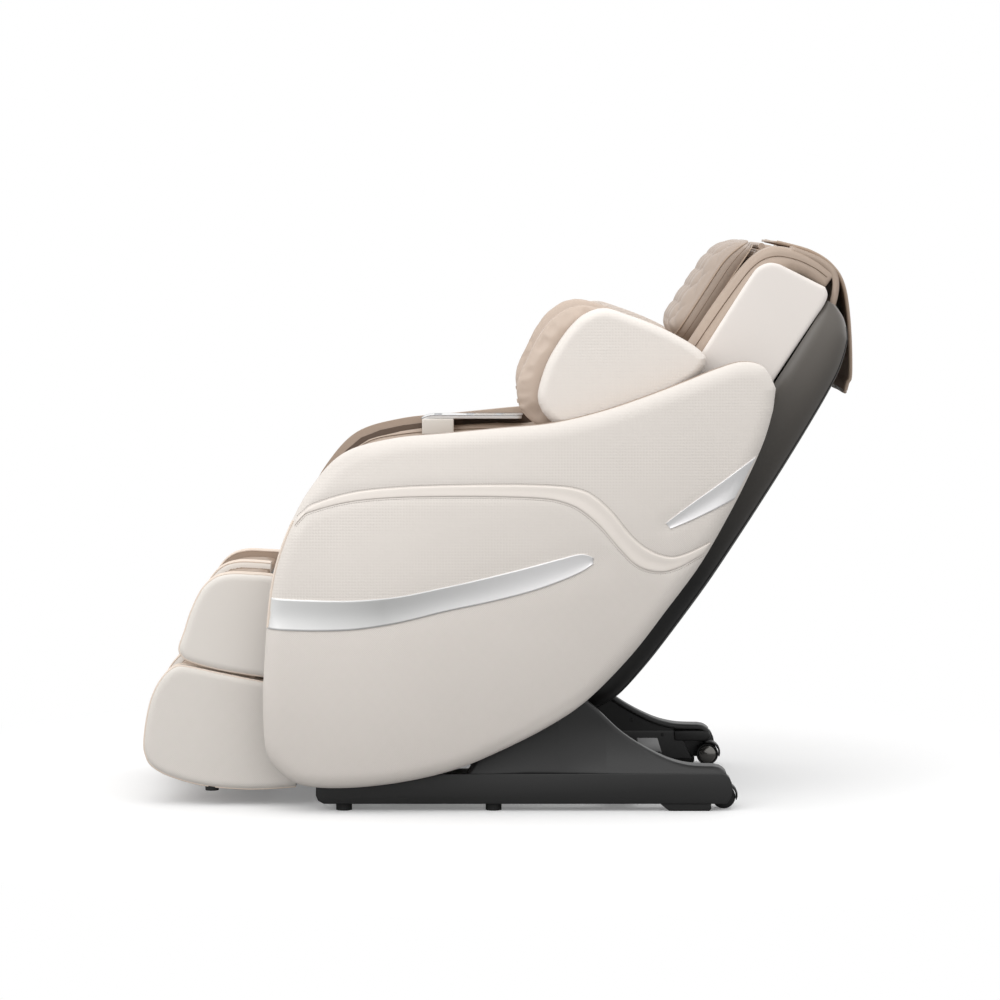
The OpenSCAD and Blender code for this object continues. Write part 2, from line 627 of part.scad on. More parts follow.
// Cream panels on the sides of the upper back
cream_front = spline(lifted([[-203, 560], [-205, 660], [-206, 760], [-206, 850], [-203, 876],
    [-190, 894], [-172, 902]]), 2);
cream_back = spline(lifted([[-64, 560], [-64, 660], [-63, 760], [-62, 850], [-61.5, 882],
    [-66, 902], [-78, 912]]), 2);
module upper_side_panels() color([0.91, 0.88, 0.85]) pair() in_back() {
    across = 8;
    n = len(cream_front) - 1;
    grid = [for (i = [0 : n]) [for (j = [0 : across])
        let (v = (1 - cos(180 * j / across)) / 2, p = mix(cream_front[i], cream_back[i], v))
        [p[0], p[1], pow(1 - pow(abs(2 * v - 1), 4), 0.5) * pow(1 - pow(i / n, 8), 0.5)]]];
    face = bolster_out + fit_gap;
    grid_solid(
        [for (row = grid) [for (p = row) [p[0], mix(face + 4, back_half, p[2]), p[1]]]],
        [for (row = grid) [for (p = row) [p[0], face, p[1]]]]);
}

// ---------- Shoulder bolsters ----------

pad_face = shoulder_plate_y - fit_gap;
shell_face = shoulder_plate_y + 6 + fit_gap;
shoulder_out = liner_in - 0.7;
shell_top = spline([[72, 764], [71, 787], [86, 836], [108, 876], [131, 907], [157, 930], [194, 941],
    [240, 928], [288, 910], [330, 890], [366, 868], [384, 850]], 2);
shell_low = spline([[79, 748], [99, 728], [130, 716], [165, 712], [200, 716], [235, 728], [265, 745],
    [295, 765], [325, 785], [350, 802], [370, 818], [381, 834]], 2);
shoulder_pad_top = spline([[32, 752], [26, 785], [30, 812], [41, 838], [58, 875], [79, 909],
    [111, 938], [148, 951], [196, 944], [250, 924], [300, 904], [345, 888]], 2);
shoulder_pad_low = spline([[48, 732], [64, 720], [90, 710], [130, 704], [170, 704], [205, 712],
    [235, 727], [256, 746], [270, 764], [288, 792], [312, 828], [338, 870]], 2);

// A crowned pad between two side-view curves: its faces meet at a rounded edge
module crowned(top, low, face, edge, out, across) {
    n = len(top) - 1;
    grid = [for (i = [0 : n]) [for (j = [0 : across])
        let (v = (1 - cos(180 * j / across)) / 2, p = mix(top[i], low[i], v),
            e = pow(max(0, 1 - pow(abs(2 * v - 1), 3)), 0.5)
                * pow(max(0, 1 - pow(abs(2 * i / n - 1), 5)), 0.5))
        [p[0], p[1], e]]];
    grid_solid(
        [for (row = grid) [for (p = row) [p[0], mix(edge, out, p[2]), p[1]]]],
        [for (row = grid) [for (p = row) [p[0], face, p[1]]]]);
}
module shoulder_shells() color([0.91, 0.88, 0.85]) pair()
    crowned(shell_top, shell_low, shell_face, shell_face + 16, shoulder_out, 8);
// The pad's crown faces the sitter's arm
pad_crown = 40;
module shoulder_pads() color([0.76, 0.68, 0.6]) pair()
    mirror([0, 1, 0]) crowned(shoulder_pad_top, shoulder_pad_low,
        -pad_face, -pad_face + 14, -pad_face + pad_crown, 8);

// ---------- Head cover and pillow ----------

cover_half = 160;
cover_t = 5;
cover_line = spline(lifted([[-203, 938], [-186, 950], [-130, 963], [-78, 960], [-36, 936], [14, 876],
    [64, 806], [70, 786], [76, 768]]), 3);
function line_normal(p, i) = let (
    a = p[max(i - 1, 0)], b = p[min(i + 1, len(p) - 1)], d = b - a) [-d[1], d[0]] / norm(d);
module head_cover() color([0.76, 0.68, 0.6]) in_back() plate_y(-cover_half, cover_half)
    polygon(concat(cover_line, [for (i = [len(cover_line) - 1 : -1 : 0])
        cover_line[i] - line_normal(cover_line, i) * cover_t]));

// Tufted head pillow, hung from the top of the back
pillow_rear = pad_rear - back_pad_t - fit_gap;
pillow_z = [back_len - 222, back_len + 5];
pillow_rows = 18;
tuft_cols = 4;
module head_pillow() color([0.76, 0.68, 0.6]) in_back() loft([
    for (i = [0 : pillow_rows]) let (
        u = i / pillow_rows,
        end = pow(max(0, 1 - pow(abs(2 * u - 1), 5)), 0.5),
        half = (pillow_w / 2) * mix(0.9, 1, end))
    [for (p = section(half, 0, pillow_t * mix(0.45, 1, end), 40, 0.5, 0.7)) let (
        front = p[1] > pillow_t * 0.55 ? 1 : 0,
        ridge = abs(sin(180 * (tuft_cols * p[0] / pillow_w + 4 * u)))
            * abs(sin(180 * (tuft_cols * p[0] / pillow_w - 4 * u))))
        [pillow_rear - p[1] + front * 7 * (1 - pow(ridge, 0.5)) * end, p[0],
            mix(pillow_z[0], pillow_z[1], u)]]
]);

// ---------- Massage carriage ----------

track_y = [plate_in - 47, plate_in - 25];
track_lx = [screw_lx - 20, screw_lx + 20];
track_z = [cross_lz[0] + 40.5, cross_lz[1] - 0.5];
guide_r = 13;
module guide_tracks() color([0.6, 0.6, 0.62]) pair() in_back()
    translate([0, 0, track_z[0]]) linear_extrude(track_z[1] - track_z[0])
        difference() {
            translate([track_lx[0], track_y[0]])
                square([track_lx[1] - track_lx[0], track_y[1] - track_y[0]]);
            translate([screw_lx - guide_r - 1, track_y[0] - 1])
                square([2 * guide_r + 2, track_y[1] - track_y[0] - 3]);
        }
screw_r = 7;
module lead_screw() color("silver") in_back()
    translate([screw_lx, 0, cross_lz[0] + 40]) cylinder(r = screw_r, h = cross_lz[1] - cross_lz[0] - 40);

carriage_lz = 175;
arm_axis_lz = carriage_lz + 50;
arm_lx = screw_lx - 22;
arm_shaft_r = 6;
arm_y = [70, 80];
module massage_carriage() color([0.3, 0.3, 0.32]) in_back() difference() {
    union() {
        translate([screw_lx - 32, -58, carriage_lz]) cube([64, 116, 95]);
        for (lz = [25, 75]) translate([screw_lx, -track_y[0] - 2, carriage_lz + lz])
            rotate([-90, 0, 0]) cylinder(r = 5, h = 2 * track_y[0] + 4);
        for (lz = [25, 75], s = [-1, 1])
            translate([screw_lx, s > 0 ? track_y[0] + 1 : -track_y[1] + 5, carriage_lz + lz])
                rotate([-90, 0, 0]) cylinder(r = guide_r, h = track_y[1] - track_y[0] - 6);
        translate([arm_lx, -arm_y[1] - 12, arm_axis_lz]) rotate([-90, 0, 0])
            cylinder(r = arm_shaft_r, h = 2 * arm_y[1] + 24);
    }
    translate([screw_lx, 0, carriage_lz - 1]) cylinder(r = screw_r + run_gap, h = 100);
}
// Arm with two rounded kneading heads facing the sitter
module massage_arm() in_back() difference() {
    union() {
        plate_y(arm_y[0], arm_y[1]) union() {
            translate([arm_lx, arm_axis_lz]) circle(r = 13);
            polygon([[arm_lx - 5, arm_axis_lz - 58], [arm_lx + 6, arm_axis_lz - 52],
                [arm_lx + 12, arm_axis_lz], [arm_lx + 6, arm_axis_lz + 52],
                [arm_lx - 5, arm_axis_lz + 58], [arm_lx - 12, arm_axis_lz]]);
        }
        for (lz = [-50, 50]) translate([arm_lx, arm_y[0] - 6, arm_axis_lz + lz])
            rotate([-90, 0, 0]) rotate_extrude()
                polygon([[0, 0], [12, 0], [17, 5], [17, 17], [12, 22], [0, 22]]);
    }
    translate([arm_lx, 0, arm_axis_lz]) rotate([-90, 0, 0])
        cylinder(r = arm_shaft_r + run_gap, h = 200);
}
module right_massage_arm() color([0.5, 0.35, 0.3]) massage_arm();
module left_massage_arm() color([0.5, 0.35, 0.3]) mirror([0, 1, 0]) massage_arm();

// ---------- Parts hung under the seat board ----------

module air_pump() color([0.2, 0.2, 0.22]) in_seat() {
    translate([196, 60, -board_t - 66]) cube([92, 110, 66 - fit_gap]);
    for (y = [85, 145]) translate([200, y, -board_t - 36]) rotate([0, -90, 0]) cylinder(r = 18, h = 32);
}
module control_box() color([0.22, 0.22, 0.24]) in_seat() difference() {
    translate([186, -178, -board_t - 46]) cube([100, 118, 46 - fit_gap]);
    for (y = [-160, -130, -100]) translate([180, y, -board_t - 36]) cube([14, 20, 12]);
}

// ---------- Leg rest ----------

leg_front = spline([[-470, 440], [-507, 441], [-537, 433], [-561, 411], [-581, 371], [-594, 332],
    [-604, 303], [-601, 288], [-585, 276], [-528, 260], [-449, 247]], 3);
leg_rear = -412;
module leg_outline() polygon(concat([[leg_rear, 434]], leg_front, [[leg_rear, 243]]));
leg_back = -446;
lining_rear = leg_back - fit_gap;
well_half = 60;
wall_in = leg_half - leg_wall;
well_y = (divider_w / 2 + wall_in) / 2;

module leg_walls() color([0.91, 0.88, 0.85]) {
    pair() plate_y(wall_in, leg_half) leg_outline();
    plate_y(-divider_w / 2, divider_w / 2) intersection() {
        leg_outline();
        translate([-700, 0]) square([700 + lining_rear, 600]);
    }
}
// A padded well for one leg: its channel is open to the front, top and bottom
module leg_linings() color([0.76, 0.68, 0.6]) pair() difference() {
    plate_y(divider_w / 2 + fit_gap, wall_in - fit_gap) intersection() {
        offset(delta = -10) leg_outline();
        translate([-700, 0]) square([700 + lining_rear, 600]);
    }
    translate([-478 - well_half, well_y, 200]) cylinder(r = well_half, h = 300);
    translate([-760, well_y - well_half, 200]) cube([760 - 478 - well_half, 2 * well_half, 300]);
}

rod_y = 120;
rod_x = -424;
frame_half = plate_in - 2;
hinge_y = [plate_in - 16, plate_in - 4];
module knee_pins() color("silver") pair()
    bar_y(knee_pivot, knee_r, hinge_y[0] - 5, plate_out + 1);

// Leg drive, in line with the seat: local X runs back from the knee
lever_r = 75;
lever_swing = 40;
pin_r = 6;
module in_leg_drive() {
    translate([knee_pivot[0], 0, knee_pivot[1]]) rotate([0, seat_slope, 0]) children();
}
lever_pin = [lever_r * sin(lever_swing), -lever_r * cos(lever_swing)];
slot_z = -lever_r * (1 + cos(lever_swing)) / 2;
slot_half = lever_r * (1 - cos(lever_swing)) / 2 + 2;

module leg_frame() color([0.22, 0.22, 0.24]) difference() {
    union() {
        translate([leg_back, -frame_half, 252]) cube([8, 2 * frame_half, 166]);
        // Hinge arms to the knee pins
        pair() plate_y(hinge_y[0], hinge_y[1]) union() {
            translate(knee_pivot) circle(r = 18);
            polygon([[leg_back + 4, 360], [leg_back + 4, 417], [-420, 422], [-398, 398], [-420, 386]]);
        }
        // Sockets for the foot unit's rods
        for (s = [-1, 1]) translate([rod_x, s * rod_y, 256])
            cylinder(r = rod_r + 6, h = 52 + foot_travel);
        // Lever that the leg drive pushes
        plate_y(-8, 8) union() {
            polygon([[leg_back + 4, 320], [leg_back + 4, 398], [-420, 396], [-368, 351], [-376, 332]]);
            in_plane_leg() translate(lever_pin) circle(r = 10);
        }
        in_leg_drive() bar_y(lever_pin, pin_r, -17, 17);
    }
    pair() bar_y(knee_pivot, knee_r + run_gap, hinge_y[0] - 1, hinge_y[1] + 1);
    for (s = [-1, 1]) translate([rod_x, s * rod_y, 250]) cylinder(r = rod_r + run_gap, h = 160);
}
// The leg drive's frame in the flat side view
module in_plane_leg() translate(knee_pivot) rotate(-seat_slope) children();

yoke_slack = 2.4;
module leg_actuator_rod() color("silver") in_leg_drive() {
    pair() plate_y(9, 15) difference() {
        translate([lever_pin[0] - 15, slot_z - slot_half - 14])
            square([38, 2 * slot_half + 22]);
        hull() for (s = [-1, 1]) translate([lever_pin[0], slot_z + s * slot_half])
            circle(r = pin_r + yoke_slack);
    }
    translate([lever_pin[0] + 17, -9, slot_z - slot_half - 14]) cube([6, 18, 2 * slot_half + 22]);
    translate([lever_pin[0] + 23, 0, slot_z]) rotate([0, 90, 0]) cylinder(r = 9, h = 185);
}
module leg_actuator_tube() color([0.22, 0.22, 0.24]) in_leg_drive() difference() {
    union() {
        translate([lever_pin[0] + 60, 0, slot_z]) rotate([0, 90, 0]) cylinder(r = 16, h = 175);
        translate([lever_pin[0] + 150, 10, slot_z - 30]) cube([60, 40, 50]);
        // Foot that bolts to the seat board
        translate([lever_pin[0] + 90, -14, slot_z]) cube([60, 28, board_foot]);
    }
    translate([lever_pin[0] + 50, 0, slot_z]) rotate([0, 90, 0]) cylinder(r = 9 + run_gap, h = 170);
}
board_foot = -slot_z + (seat_front[0] - knee_pivot[0]) * sin(seat_slope)
    + (seat_front[1] - knee_pivot[1]) * cos(seat_slope) - board_t - fit_gap;

// ---------- Foot unit ----------

foot_front = spline([[-450, 236], [-529, 252], [-585, 264], [-607, 266], [-624, 257], [-641, 236],
    [-655, 205], [-664.5, 163], [-669.3, 121], [-666.5, 97], [-655, 76], [-623, 57], [-563, 40],
    [-495, 33], [-440, 33]], 3);
foot_rear = -386;
module foot_outline() polygon(concat([[leg_rear, 229]], foot_front,
    [[foot_rear, 37], [foot_rear, 110], [leg_rear, 170]]));
roller_at = [-548, 84];
roller_shaft_r = 6;
roller_r = 20;
sole_z = 92;
heel_x = -474;

module foot_walls() color([0.91, 0.88, 0.85]) {
    pair() difference() {
        plate_y(wall_in, leg_half) foot_outline();
        bar_y(roller_at, roller_shaft_r + run_gap, wall_in - 1, wall_in + 12);
    }
    difference() {
        plate_y(-divider_w / 2, divider_w / 2) intersection() {
            foot_outline();
            translate([-700, 0]) square([700 + lining_rear, 600]);
        }
        bar_y(roller_at, roller_shaft_r + run_gap, -divider_w, divider_w);
    }
}
// A padded well for one foot: sole, heel and sides, open to the front and the top
module foot_linings() color([0.76, 0.68, 0.6]) pair() difference() {
    plate_y(divider_w / 2 + fit_gap, wall_in - fit_gap) intersection() {
        offset(delta = -10) foot_outline();
        translate([-700, 0]) square([700 + lining_rear, 600]);
    }
    translate([-760, well_y - well_half, sole_z]) cube([760 + heel_x, 2 * well_half, 300]);
    bar_y(roller_at, roller_r + 2, well_y - well_half + 4, well_y + well_half - 4);
    bar_y(roller_at, roller_shaft_r + 1.5, 0, wall_in);
}
module foot_rollers() color([0.3, 0.22, 0.18]) {
    bar_y(roller_at, roller_shaft_r, -wall_in - 11, wall_in + 11);
    for (s = [-1, 1], k = [-1, 0, 1]) translate([0, s * well_y + k * 34, 0])
        bar_y(roller_at, roller_r, -13, 13);
}
module foot_frame() color([0.22, 0.22, 0.24]) {
    translate([leg_back, -frame_half, 45]) cube([8, 2 * frame_half, 172]);
    for (s = [-1, 1]) {
        translate([rod_x, s * rod_y, 150]) cylinder(r = rod_r, h = 148 + foot_travel);
        translate([leg_back + 4, s * rod_y - 12, 152]) cube([rod_x - leg_back + 8, 24, 50]);
    }
}
// Small glides under the foot unit's walls
module foot_glides() color([0.1, 0.1, 0.1]) pair() difference() {
    translate([-545, leg_half - leg_wall / 2, 29]) cylinder(r = 13, h = 14);
    plate_y(wall_in - 2, leg_half + 2) foot_outline();
}

left_base_skid();
right_base_skid();
base_cross_frame();
base_feet();
pivot_pins();
wheel_axles();
left_wheel();
right_wheel();
power_box();
power_inlet();
power_rocker();
recline_motor_bracket();
recline_actuator_tube();
recline_actuator_rod();
side_plates();
frame_cross_tubes();
back_uprights();
arm_brackets();
shoulder_brackets();
seat_board();
seat_cushion();
left_side_panel();
right_side_panel();
side_liners();
side_stripes();
front_trims();
rear_trims();
arm_pads();
control_panel();
control_bracket();
control_rim();
power_button();
recline_button();
massage_button();
back_shell();
back_pad();
back_bolsters();
upper_side_panels();
shoulder_shells();
shoulder_pads();
head_cover();
head_pillow();
guide_tracks();
lead_screw();
massage_carriage();
left_massage_arm();
right_massage_arm();
air_pump();
control_box();
knee_pins();
leg_frame();
leg_walls();
leg_linings();
leg_actuator_tube();
leg_actuator_rod();
foot_frame();
foot_walls();
foot_linings();
foot_rollers();
foot_glides();
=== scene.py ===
"""A reclining massage chair: padded cream sides, tan cushions and a dark rear shell,
on a low black base with two transport wheels."""
import math

import bmesh
import bpy
import numpy as np
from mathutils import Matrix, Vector
from mathutils.bvhtree import BVHTree


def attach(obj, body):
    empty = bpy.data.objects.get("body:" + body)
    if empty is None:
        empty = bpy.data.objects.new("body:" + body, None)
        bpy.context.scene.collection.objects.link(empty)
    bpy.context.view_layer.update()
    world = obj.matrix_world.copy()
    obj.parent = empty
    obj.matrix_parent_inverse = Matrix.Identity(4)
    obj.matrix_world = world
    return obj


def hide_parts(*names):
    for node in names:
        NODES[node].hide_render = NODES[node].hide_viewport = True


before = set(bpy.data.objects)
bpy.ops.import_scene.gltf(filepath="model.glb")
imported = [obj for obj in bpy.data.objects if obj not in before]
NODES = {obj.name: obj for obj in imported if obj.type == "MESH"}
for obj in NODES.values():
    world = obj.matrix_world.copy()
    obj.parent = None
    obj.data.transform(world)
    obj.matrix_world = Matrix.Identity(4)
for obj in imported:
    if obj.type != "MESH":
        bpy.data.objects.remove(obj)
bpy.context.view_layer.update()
MM = 0.001
SIDES = ((-1, "left"), (1, "right"))


# ---------------------------------------------------------------- studio
# A white sweep with the chair in the middle. Soft lamps hang above and ahead of
# the chair, and the camera stands level with the arm at the chair's left side.
AIM = Vector((0.0, 0.0, 0.5603))
CAMERA_DISTANCE = 7.08
CAMERA_ELEVATION = math.radians(4.55)
LENS_MM = 130.9
FLOOR_RADIUS = 12.0

scene = bpy.context.scene
scene.view_settings.view_transform = "Standard"


def placed(name, data):
    """A new object of the scene, from its data."""
    piece = bpy.data.objects.new(name, data)
    scene.collection.objects.link(piece)
    return piece


camera_data = bpy.data.cameras.new("camera")
camera_data.lens = LENS_MM
camera_data.sensor_width = 36.0
camera = placed("camera", camera_data)
camera.location = AIM + CAMERA_DISTANCE * Vector(
    (0.0, -math.cos(CAMERA_ELEVATION), math.sin(CAMERA_ELEVATION)))
camera.rotation_euler = (AIM - camera.location).to_track_quat("-Z", "Y").to_euler()
scene.camera = camera


def lamp(name, place, target, size, watts):
    """A square soft box that looks at a target."""
    data = bpy.data.lights.new(name, "AREA")
    data.shape = "SQUARE"
    data.size = size
    data.energy = watts
    box = placed(name, data)
    box.location = place
    box.rotation_euler = (Vector(target) - Vector(place)).to_track_quat("-Z", "Y").to_euler()


lamp("overhead_box", (-0.5, -1.7, 3.3), (0.0, 0.0, 0.6), 2.8, 32.0)
lamp("front_box", (-2.6, -3.0, 2.6), (0.0, 0.0, 0.6), 2.0, 28.0)
lamp("rear_box", (2.2, 0.9, 2.9), (0.1, 0.0, 0.7), 2.0, 16.0)


def feed(made, sockets):
    """Sets a node's inputs, each to a value or to the output that it is linked from."""
    for key, value in sockets.items():
        if isinstance(value, bpy.types.NodeSocket):
            made.id_data.links.new(value, made.inputs[key])
        else:
            made.inputs[key].default_value = value
    return made


def node(tree, kind, sockets=None, **settings):
    """A shader node with its settings and its inputs."""
    made = tree.nodes.new("ShaderNode" + kind)
    for name, value in settings.items():
        setattr(made, name, value)
    return feed(made, sockets or {})


def arithmetic(tree, operation, *values):
    """The result of an operation on numbers or outputs."""
    return node(tree, "Math", dict(enumerate(values)), operation=operation).outputs[0]


def object_place(tree):
    """Where a point lies on its object."""
    return node(tree, "TexCoord").outputs["Object"]


def new_material(name):
    """An empty node material: returns it with its node tree and main shader."""
    material = bpy.data.materials.new(name)
    material.use_nodes = True
    tree = material.node_tree
    tree.nodes.clear()
    shader = node(tree, "BsdfPrincipled")
    node(tree, "OutputMaterial", {"Surface": shader.outputs["BSDF"]})
    return material, tree, shader


# The world lights the chair softly, and is plain white to the camera and in glosses.
WHITE = (1.0, 1.0, 1.0, 1.0)
world = bpy.data.worlds.new("studio")
scene.world = world
world.use_nodes = True
sky = world.node_tree
sky.nodes.clear()
soft_light = node(sky, "Background", {"Color": WHITE, "Strength": 0.87})
white_back = node(sky, "Background", {"Color": WHITE, "Strength": 1.0})
ray = node(sky, "LightPath").outputs
seen = arithmetic(sky, "MAXIMUM", ray["Is Camera Ray"], ray["Is Transmission Ray"])
gloss_seen = arithmetic(sky, "MAXIMUM", seen, ray["Is Glossy Ray"])
pick = node(sky, "MixShader", {0: gloss_seen, 1: soft_light.outputs[0],
                               2: white_back.outputs[0]})
node(sky, "OutputWorld", {"Surface": pick.outputs[0]})

# The floor keeps the chair's shadow near it and runs out to plain white.
SHADOW_NEAR, SHADOW_FAR = 0.85, 1.35
FLOOR_SIDES = 96
floor_mesh = bpy.data.meshes.new("floor")
floor_ring = [(FLOOR_RADIUS * math.cos(t), FLOOR_RADIUS * math.sin(t), 0.0)
              for t in np.linspace(0.0, 2.0 * math.pi, FLOOR_SIDES, endpoint=False)]
floor_mesh.from_pydata(floor_ring, [], [list(range(FLOOR_SIDES))])
placed("floor", floor_mesh)
floor_paint, tree, shader = new_material("floor_white")
feed(shader, {"Base Color": (0.86, 0.86, 0.86, 1.0), "Roughness": 0.9})
glow = node(tree, "Emission", {"Strength": 1.0})
fill = node(tree, "Emission", {"Strength": 0.17})
lit = node(tree, "AddShader", {0: shader.outputs[0], 1: fill.outputs[0]})
reach = node(tree, "VectorMath", {0: object_place(tree)}, operation="LENGTH").outputs["Value"]
fade = node(tree, "MapRange", {"Value": reach, "From Min": SHADOW_NEAR, "From Max": SHADOW_FAR},
            interpolation_type="SMOOTHSTEP")
to_camera = node(tree, "LightPath").outputs["Is Camera Ray"]
far = arithmetic(tree, "MULTIPLY", fade.outputs[0], to_camera)
bounce = node(tree, "BsdfDiffuse", {"Color": (0.34, 0.34, 0.34, 1.0)})
near_mix = node(tree, "MixShader", {0: to_camera, 1: bounce.outputs[0], 2: lit.outputs[0]})
far_mix = node(tree, "MixShader", {0: far, 1: near_mix.outputs[0], 2: glow.outputs[0]})
floor_out = next(n for n in tree.nodes if n.type == "OUTPUT_MATERIAL")
feed(floor_out, {"Surface": far_mix.outputs[0]})
floor_mesh.materials.append(floor_paint)


# ---------------------------------------------------------------- side panels
# One tall padded casing on each side: a moulded core under embossed cream leather,
# sewn in three fields. Each stands on the body's frame and hides the arm.
PANEL_IN = 322.0
RIM_DEPTH = 12.0
ROLL_DEPTH, ROLL_RADIUS = 16.0, 30.0
DOME_DEPTH, DOME_REACH = 30.0, 300.0
DOME_LINE = ((-250, 330), (360, 690))
PANEL_TOP = [(-441, 225), (-433, 350), (-420, 450), (-392, 535), (-350, 612), (-290, 674),
             (-200, 701), (-100, 711), (0, 721), (98, 731), (190, 753), (270, 780),
             (340, 807), (400, 831), (448, 844), (488, 834), (509, 795)]
PANEL_LOW = [(-441, 195), (-436, 120), (-413, 80), (-370, 53), (-290, 48), (-185, 59),
             (-85, 82), (0, 117), (90, 163), (164, 214), (244, 297), (310, 384),
             (370, 467), (420, 555), (460, 635), (488, 700), (504, 755)]
STRIPE_TOP = [(-374, 556), (-362, 567), (-344, 580), (-280, 600), (-205, 610), (-110, 615),
              (0, 617), (80, 616), (135, 611), (170, 598), (205, 567), (242, 522),
              (275, 496), (312, 483), (342, 488), (375, 503), (390, 511)]
STRIPE_LOW = [(-380, 541), (-367, 556), (-352, 566), (-286, 584), (-208, 593), (-110, 596),
              (0, 596), (76, 593), (112, 587), (146, 573), (185, 541), (222, 498),
              (256, 466), (296, 456), (330, 464), (362, 481), (377, 489)]
FRONT_TRIM_TOP = [(-425, 408), (-410, 407), (-396, 406), (-340, 404), (-268, 404),
                  (-190, 411), (-110, 427), (-30, 445), (50, 465), (110, 481), (150, 490),
                  (173, 483)]
FRONT_TRIM_LOW = [(-431, 350), (-416, 349), (-400, 348), (-340, 347), (-268, 350),
                  (-190, 362), (-100, 384), (-20, 401), (55, 420), (112, 440), (150, 457),
                  (172, 472)]
REAR_TRIM_TOP = [(306, 547), (350, 581), (400, 617), (440, 647), (462, 663), (472, 670)]
REAR_TRIM_LOW = [(314, 537), (345, 549), (380, 565), (412, 581), (427, 589), (433, 592)]


def smooth_line(points, steps=8):
    """Catmull-Rom curve through the points."""
    p = np.array(points, float)
    padded = np.vstack([p[:1], p, p[-1:]])
    t = np.linspace(0.0, 1.0, steps, endpoint=False)[:, None]
    spans = []
    for a, b, c, d in zip(padded, padded[1:], padded[2:], padded[3:]):
        spans.append(b + ((c - a) * t + (2 * a - 5 * b + 4 * c - d) * t ** 2
                          + (3 * b - a - 3 * c + d) * t ** 3) / 2)
    return np.vstack(spans + [p[-1:]])


def even(line, count):
    """The same line with evenly spaced points."""
    run = np.concatenate([[0.0], np.cumsum(np.linalg.norm(np.diff(line, axis=0), axis=1))])
    at = np.linspace(0.0, run[-1], count)
    return np.stack([np.interp(at, run, line[:, k]) for k in range(line.shape[1])], axis=1)


def between(first, second, share):
    """A grid of points from one line to another, at some shares of the way."""
    return (first[:, None, :] * (1 - share)[None, :, None]
            + second[:, None, :] * share[None, :, None])


def crowded(count):
    """Shares from 0 to 1 that lie closer together near both ends."""
    return (1 - np.cos(np.pi * np.linspace(0, 1, count))) / 2


def rolled(share):
    """Height of a rolled edge, from 0 to 1, at a share of its width."""
    return np.sqrt(np.clip(1 - (1 - np.clip(share, 0, 1)) ** 2, 0, 1))


def at_side(flat, distance):
    """Side-view points with their distance across the chair."""
    return np.stack([flat[..., 0], np.broadcast_to(distance, flat.shape[:-1]), flat[..., 1]],
                    axis=-1)


def distance_to(line, points):
    """Distance of each point from a line, both in the side view."""
    best = np.full(points.shape[:-1], 1e9)
    for a, b in zip(line, line[1:]):
        run = b - a
        t = np.clip(((points - a) @ run) / max(run @ run, 1e-9), 0.0, 1.0)
        best = np.minimum(best, np.linalg.norm(points - a - t[..., None] * run, axis=-1))
    return best


panel_top, panel_low = smooth_line(PANEL_TOP), smooth_line(PANEL_LOW)
panel_edge = np.vstack([panel_top, panel_low[::-1], panel_top[:1]])
# Middle line, half width and depth of the sewn valleys under the stripe and the trims
VALLEYS = [((smooth_line(top) + smooth_line(low)) / 2, width, depth) for top, low, width, depth in (
    (STRIPE_TOP, STRIPE_LOW, 13.0, 3.2), (FRONT_TRIM_TOP, FRONT_TRIM_LOW, 30.0, 2.0),
    (REAR_TRIM_TOP, REAR_TRIM_LOW, 16.0, 2.0))]


def panel_face(p):
    """Distance of the panel's face from the middle of the chair, at side-view points."""
    edge = np.minimum(distance_to(panel_edge, p), ROLL_RADIUS) / ROLL_RADIUS
    dome = distance_to(np.array(DOME_LINE, float), p) / DOME_REACH
    face = (PANEL_IN + RIM_DEPTH + ROLL_DEPTH * rolled(edge)
            + DOME_DEPTH * np.clip(1 - dome ** 2, 0, 1))
    inward = np.clip(edge * 1.4, 0, 1)
    for line, width, depth in VALLEYS:
        face -= inward * depth * np.exp(-(distance_to(line, p) / width) ** 2)
    return face


def add_mesh(name, points, faces):
    """A smooth-shaded mesh object from points in millimetres."""
    mesh = bpy.data.meshes.new(name)
    mesh.from_pydata((np.asarray(points, float) * MM).tolist(), [], faces)
    smooth_faces(mesh)
    mesh.update()
    return placed(name, mesh)


def slab(name, outer, inner):
    """A closed piece between two grids of points."""
    rows, cols = outer.shape[:2]
    far = rows * cols
    faces = []
    for i in range(rows - 1):
        for j in range(cols - 1):
            a = i * cols + j
            faces.append((a, a + 1, a + cols + 1, a + cols))
            faces.append((far + a, far + a + cols, far + a + cols + 1, far + a + 1))
    rim = ([j for j in range(cols)] + [i * cols + cols - 1 for i in range(1, rows)]
           + [(rows - 1) * cols + j for j in range(cols - 2, -1, -1)]
           + [i * cols for i in range(rows - 2, 0, -1)])
    for a, b in zip(rim, rim[1:] + rim[:1]):
        faces.append((a, a + far, b + far, b))
    return add_mesh(name, np.vstack([outer.reshape(-1, 3), inner.reshape(-1, 3)]), faces)


def reworked(mesh, *changes):
    """Makes some changes to a mesh."""
    work = bmesh.new()
    work.from_mesh(mesh)
    for change in changes:
        change(work)
    work.to_mesh(mesh)
    work.free()


def welded(work):
    bmesh.ops.remove_doubles(work, verts=work.verts, dist=1e-6)


def faced_out(work):
    bmesh.ops.recalc_face_normals(work, faces=work.faces)


def outward(piece):
    """Turns every face of a closed piece to the outside."""
    reworked(piece.data, faced_out)
    return piece


def smooth_faces(mesh):
    mesh.polygons.foreach_set("use_smooth", [True] * len(mesh.polygons))


def finish_piece(piece, material, slot, body, *nodes):
    """Gives a piece its material, lets it ride on a body and hides what it stands for. The slot is
    not used.
    """
    piece.data.materials.clear()
    piece.data.materials.append(material)
    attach(piece, body)
    if nodes:
        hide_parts(*nodes)
    return piece


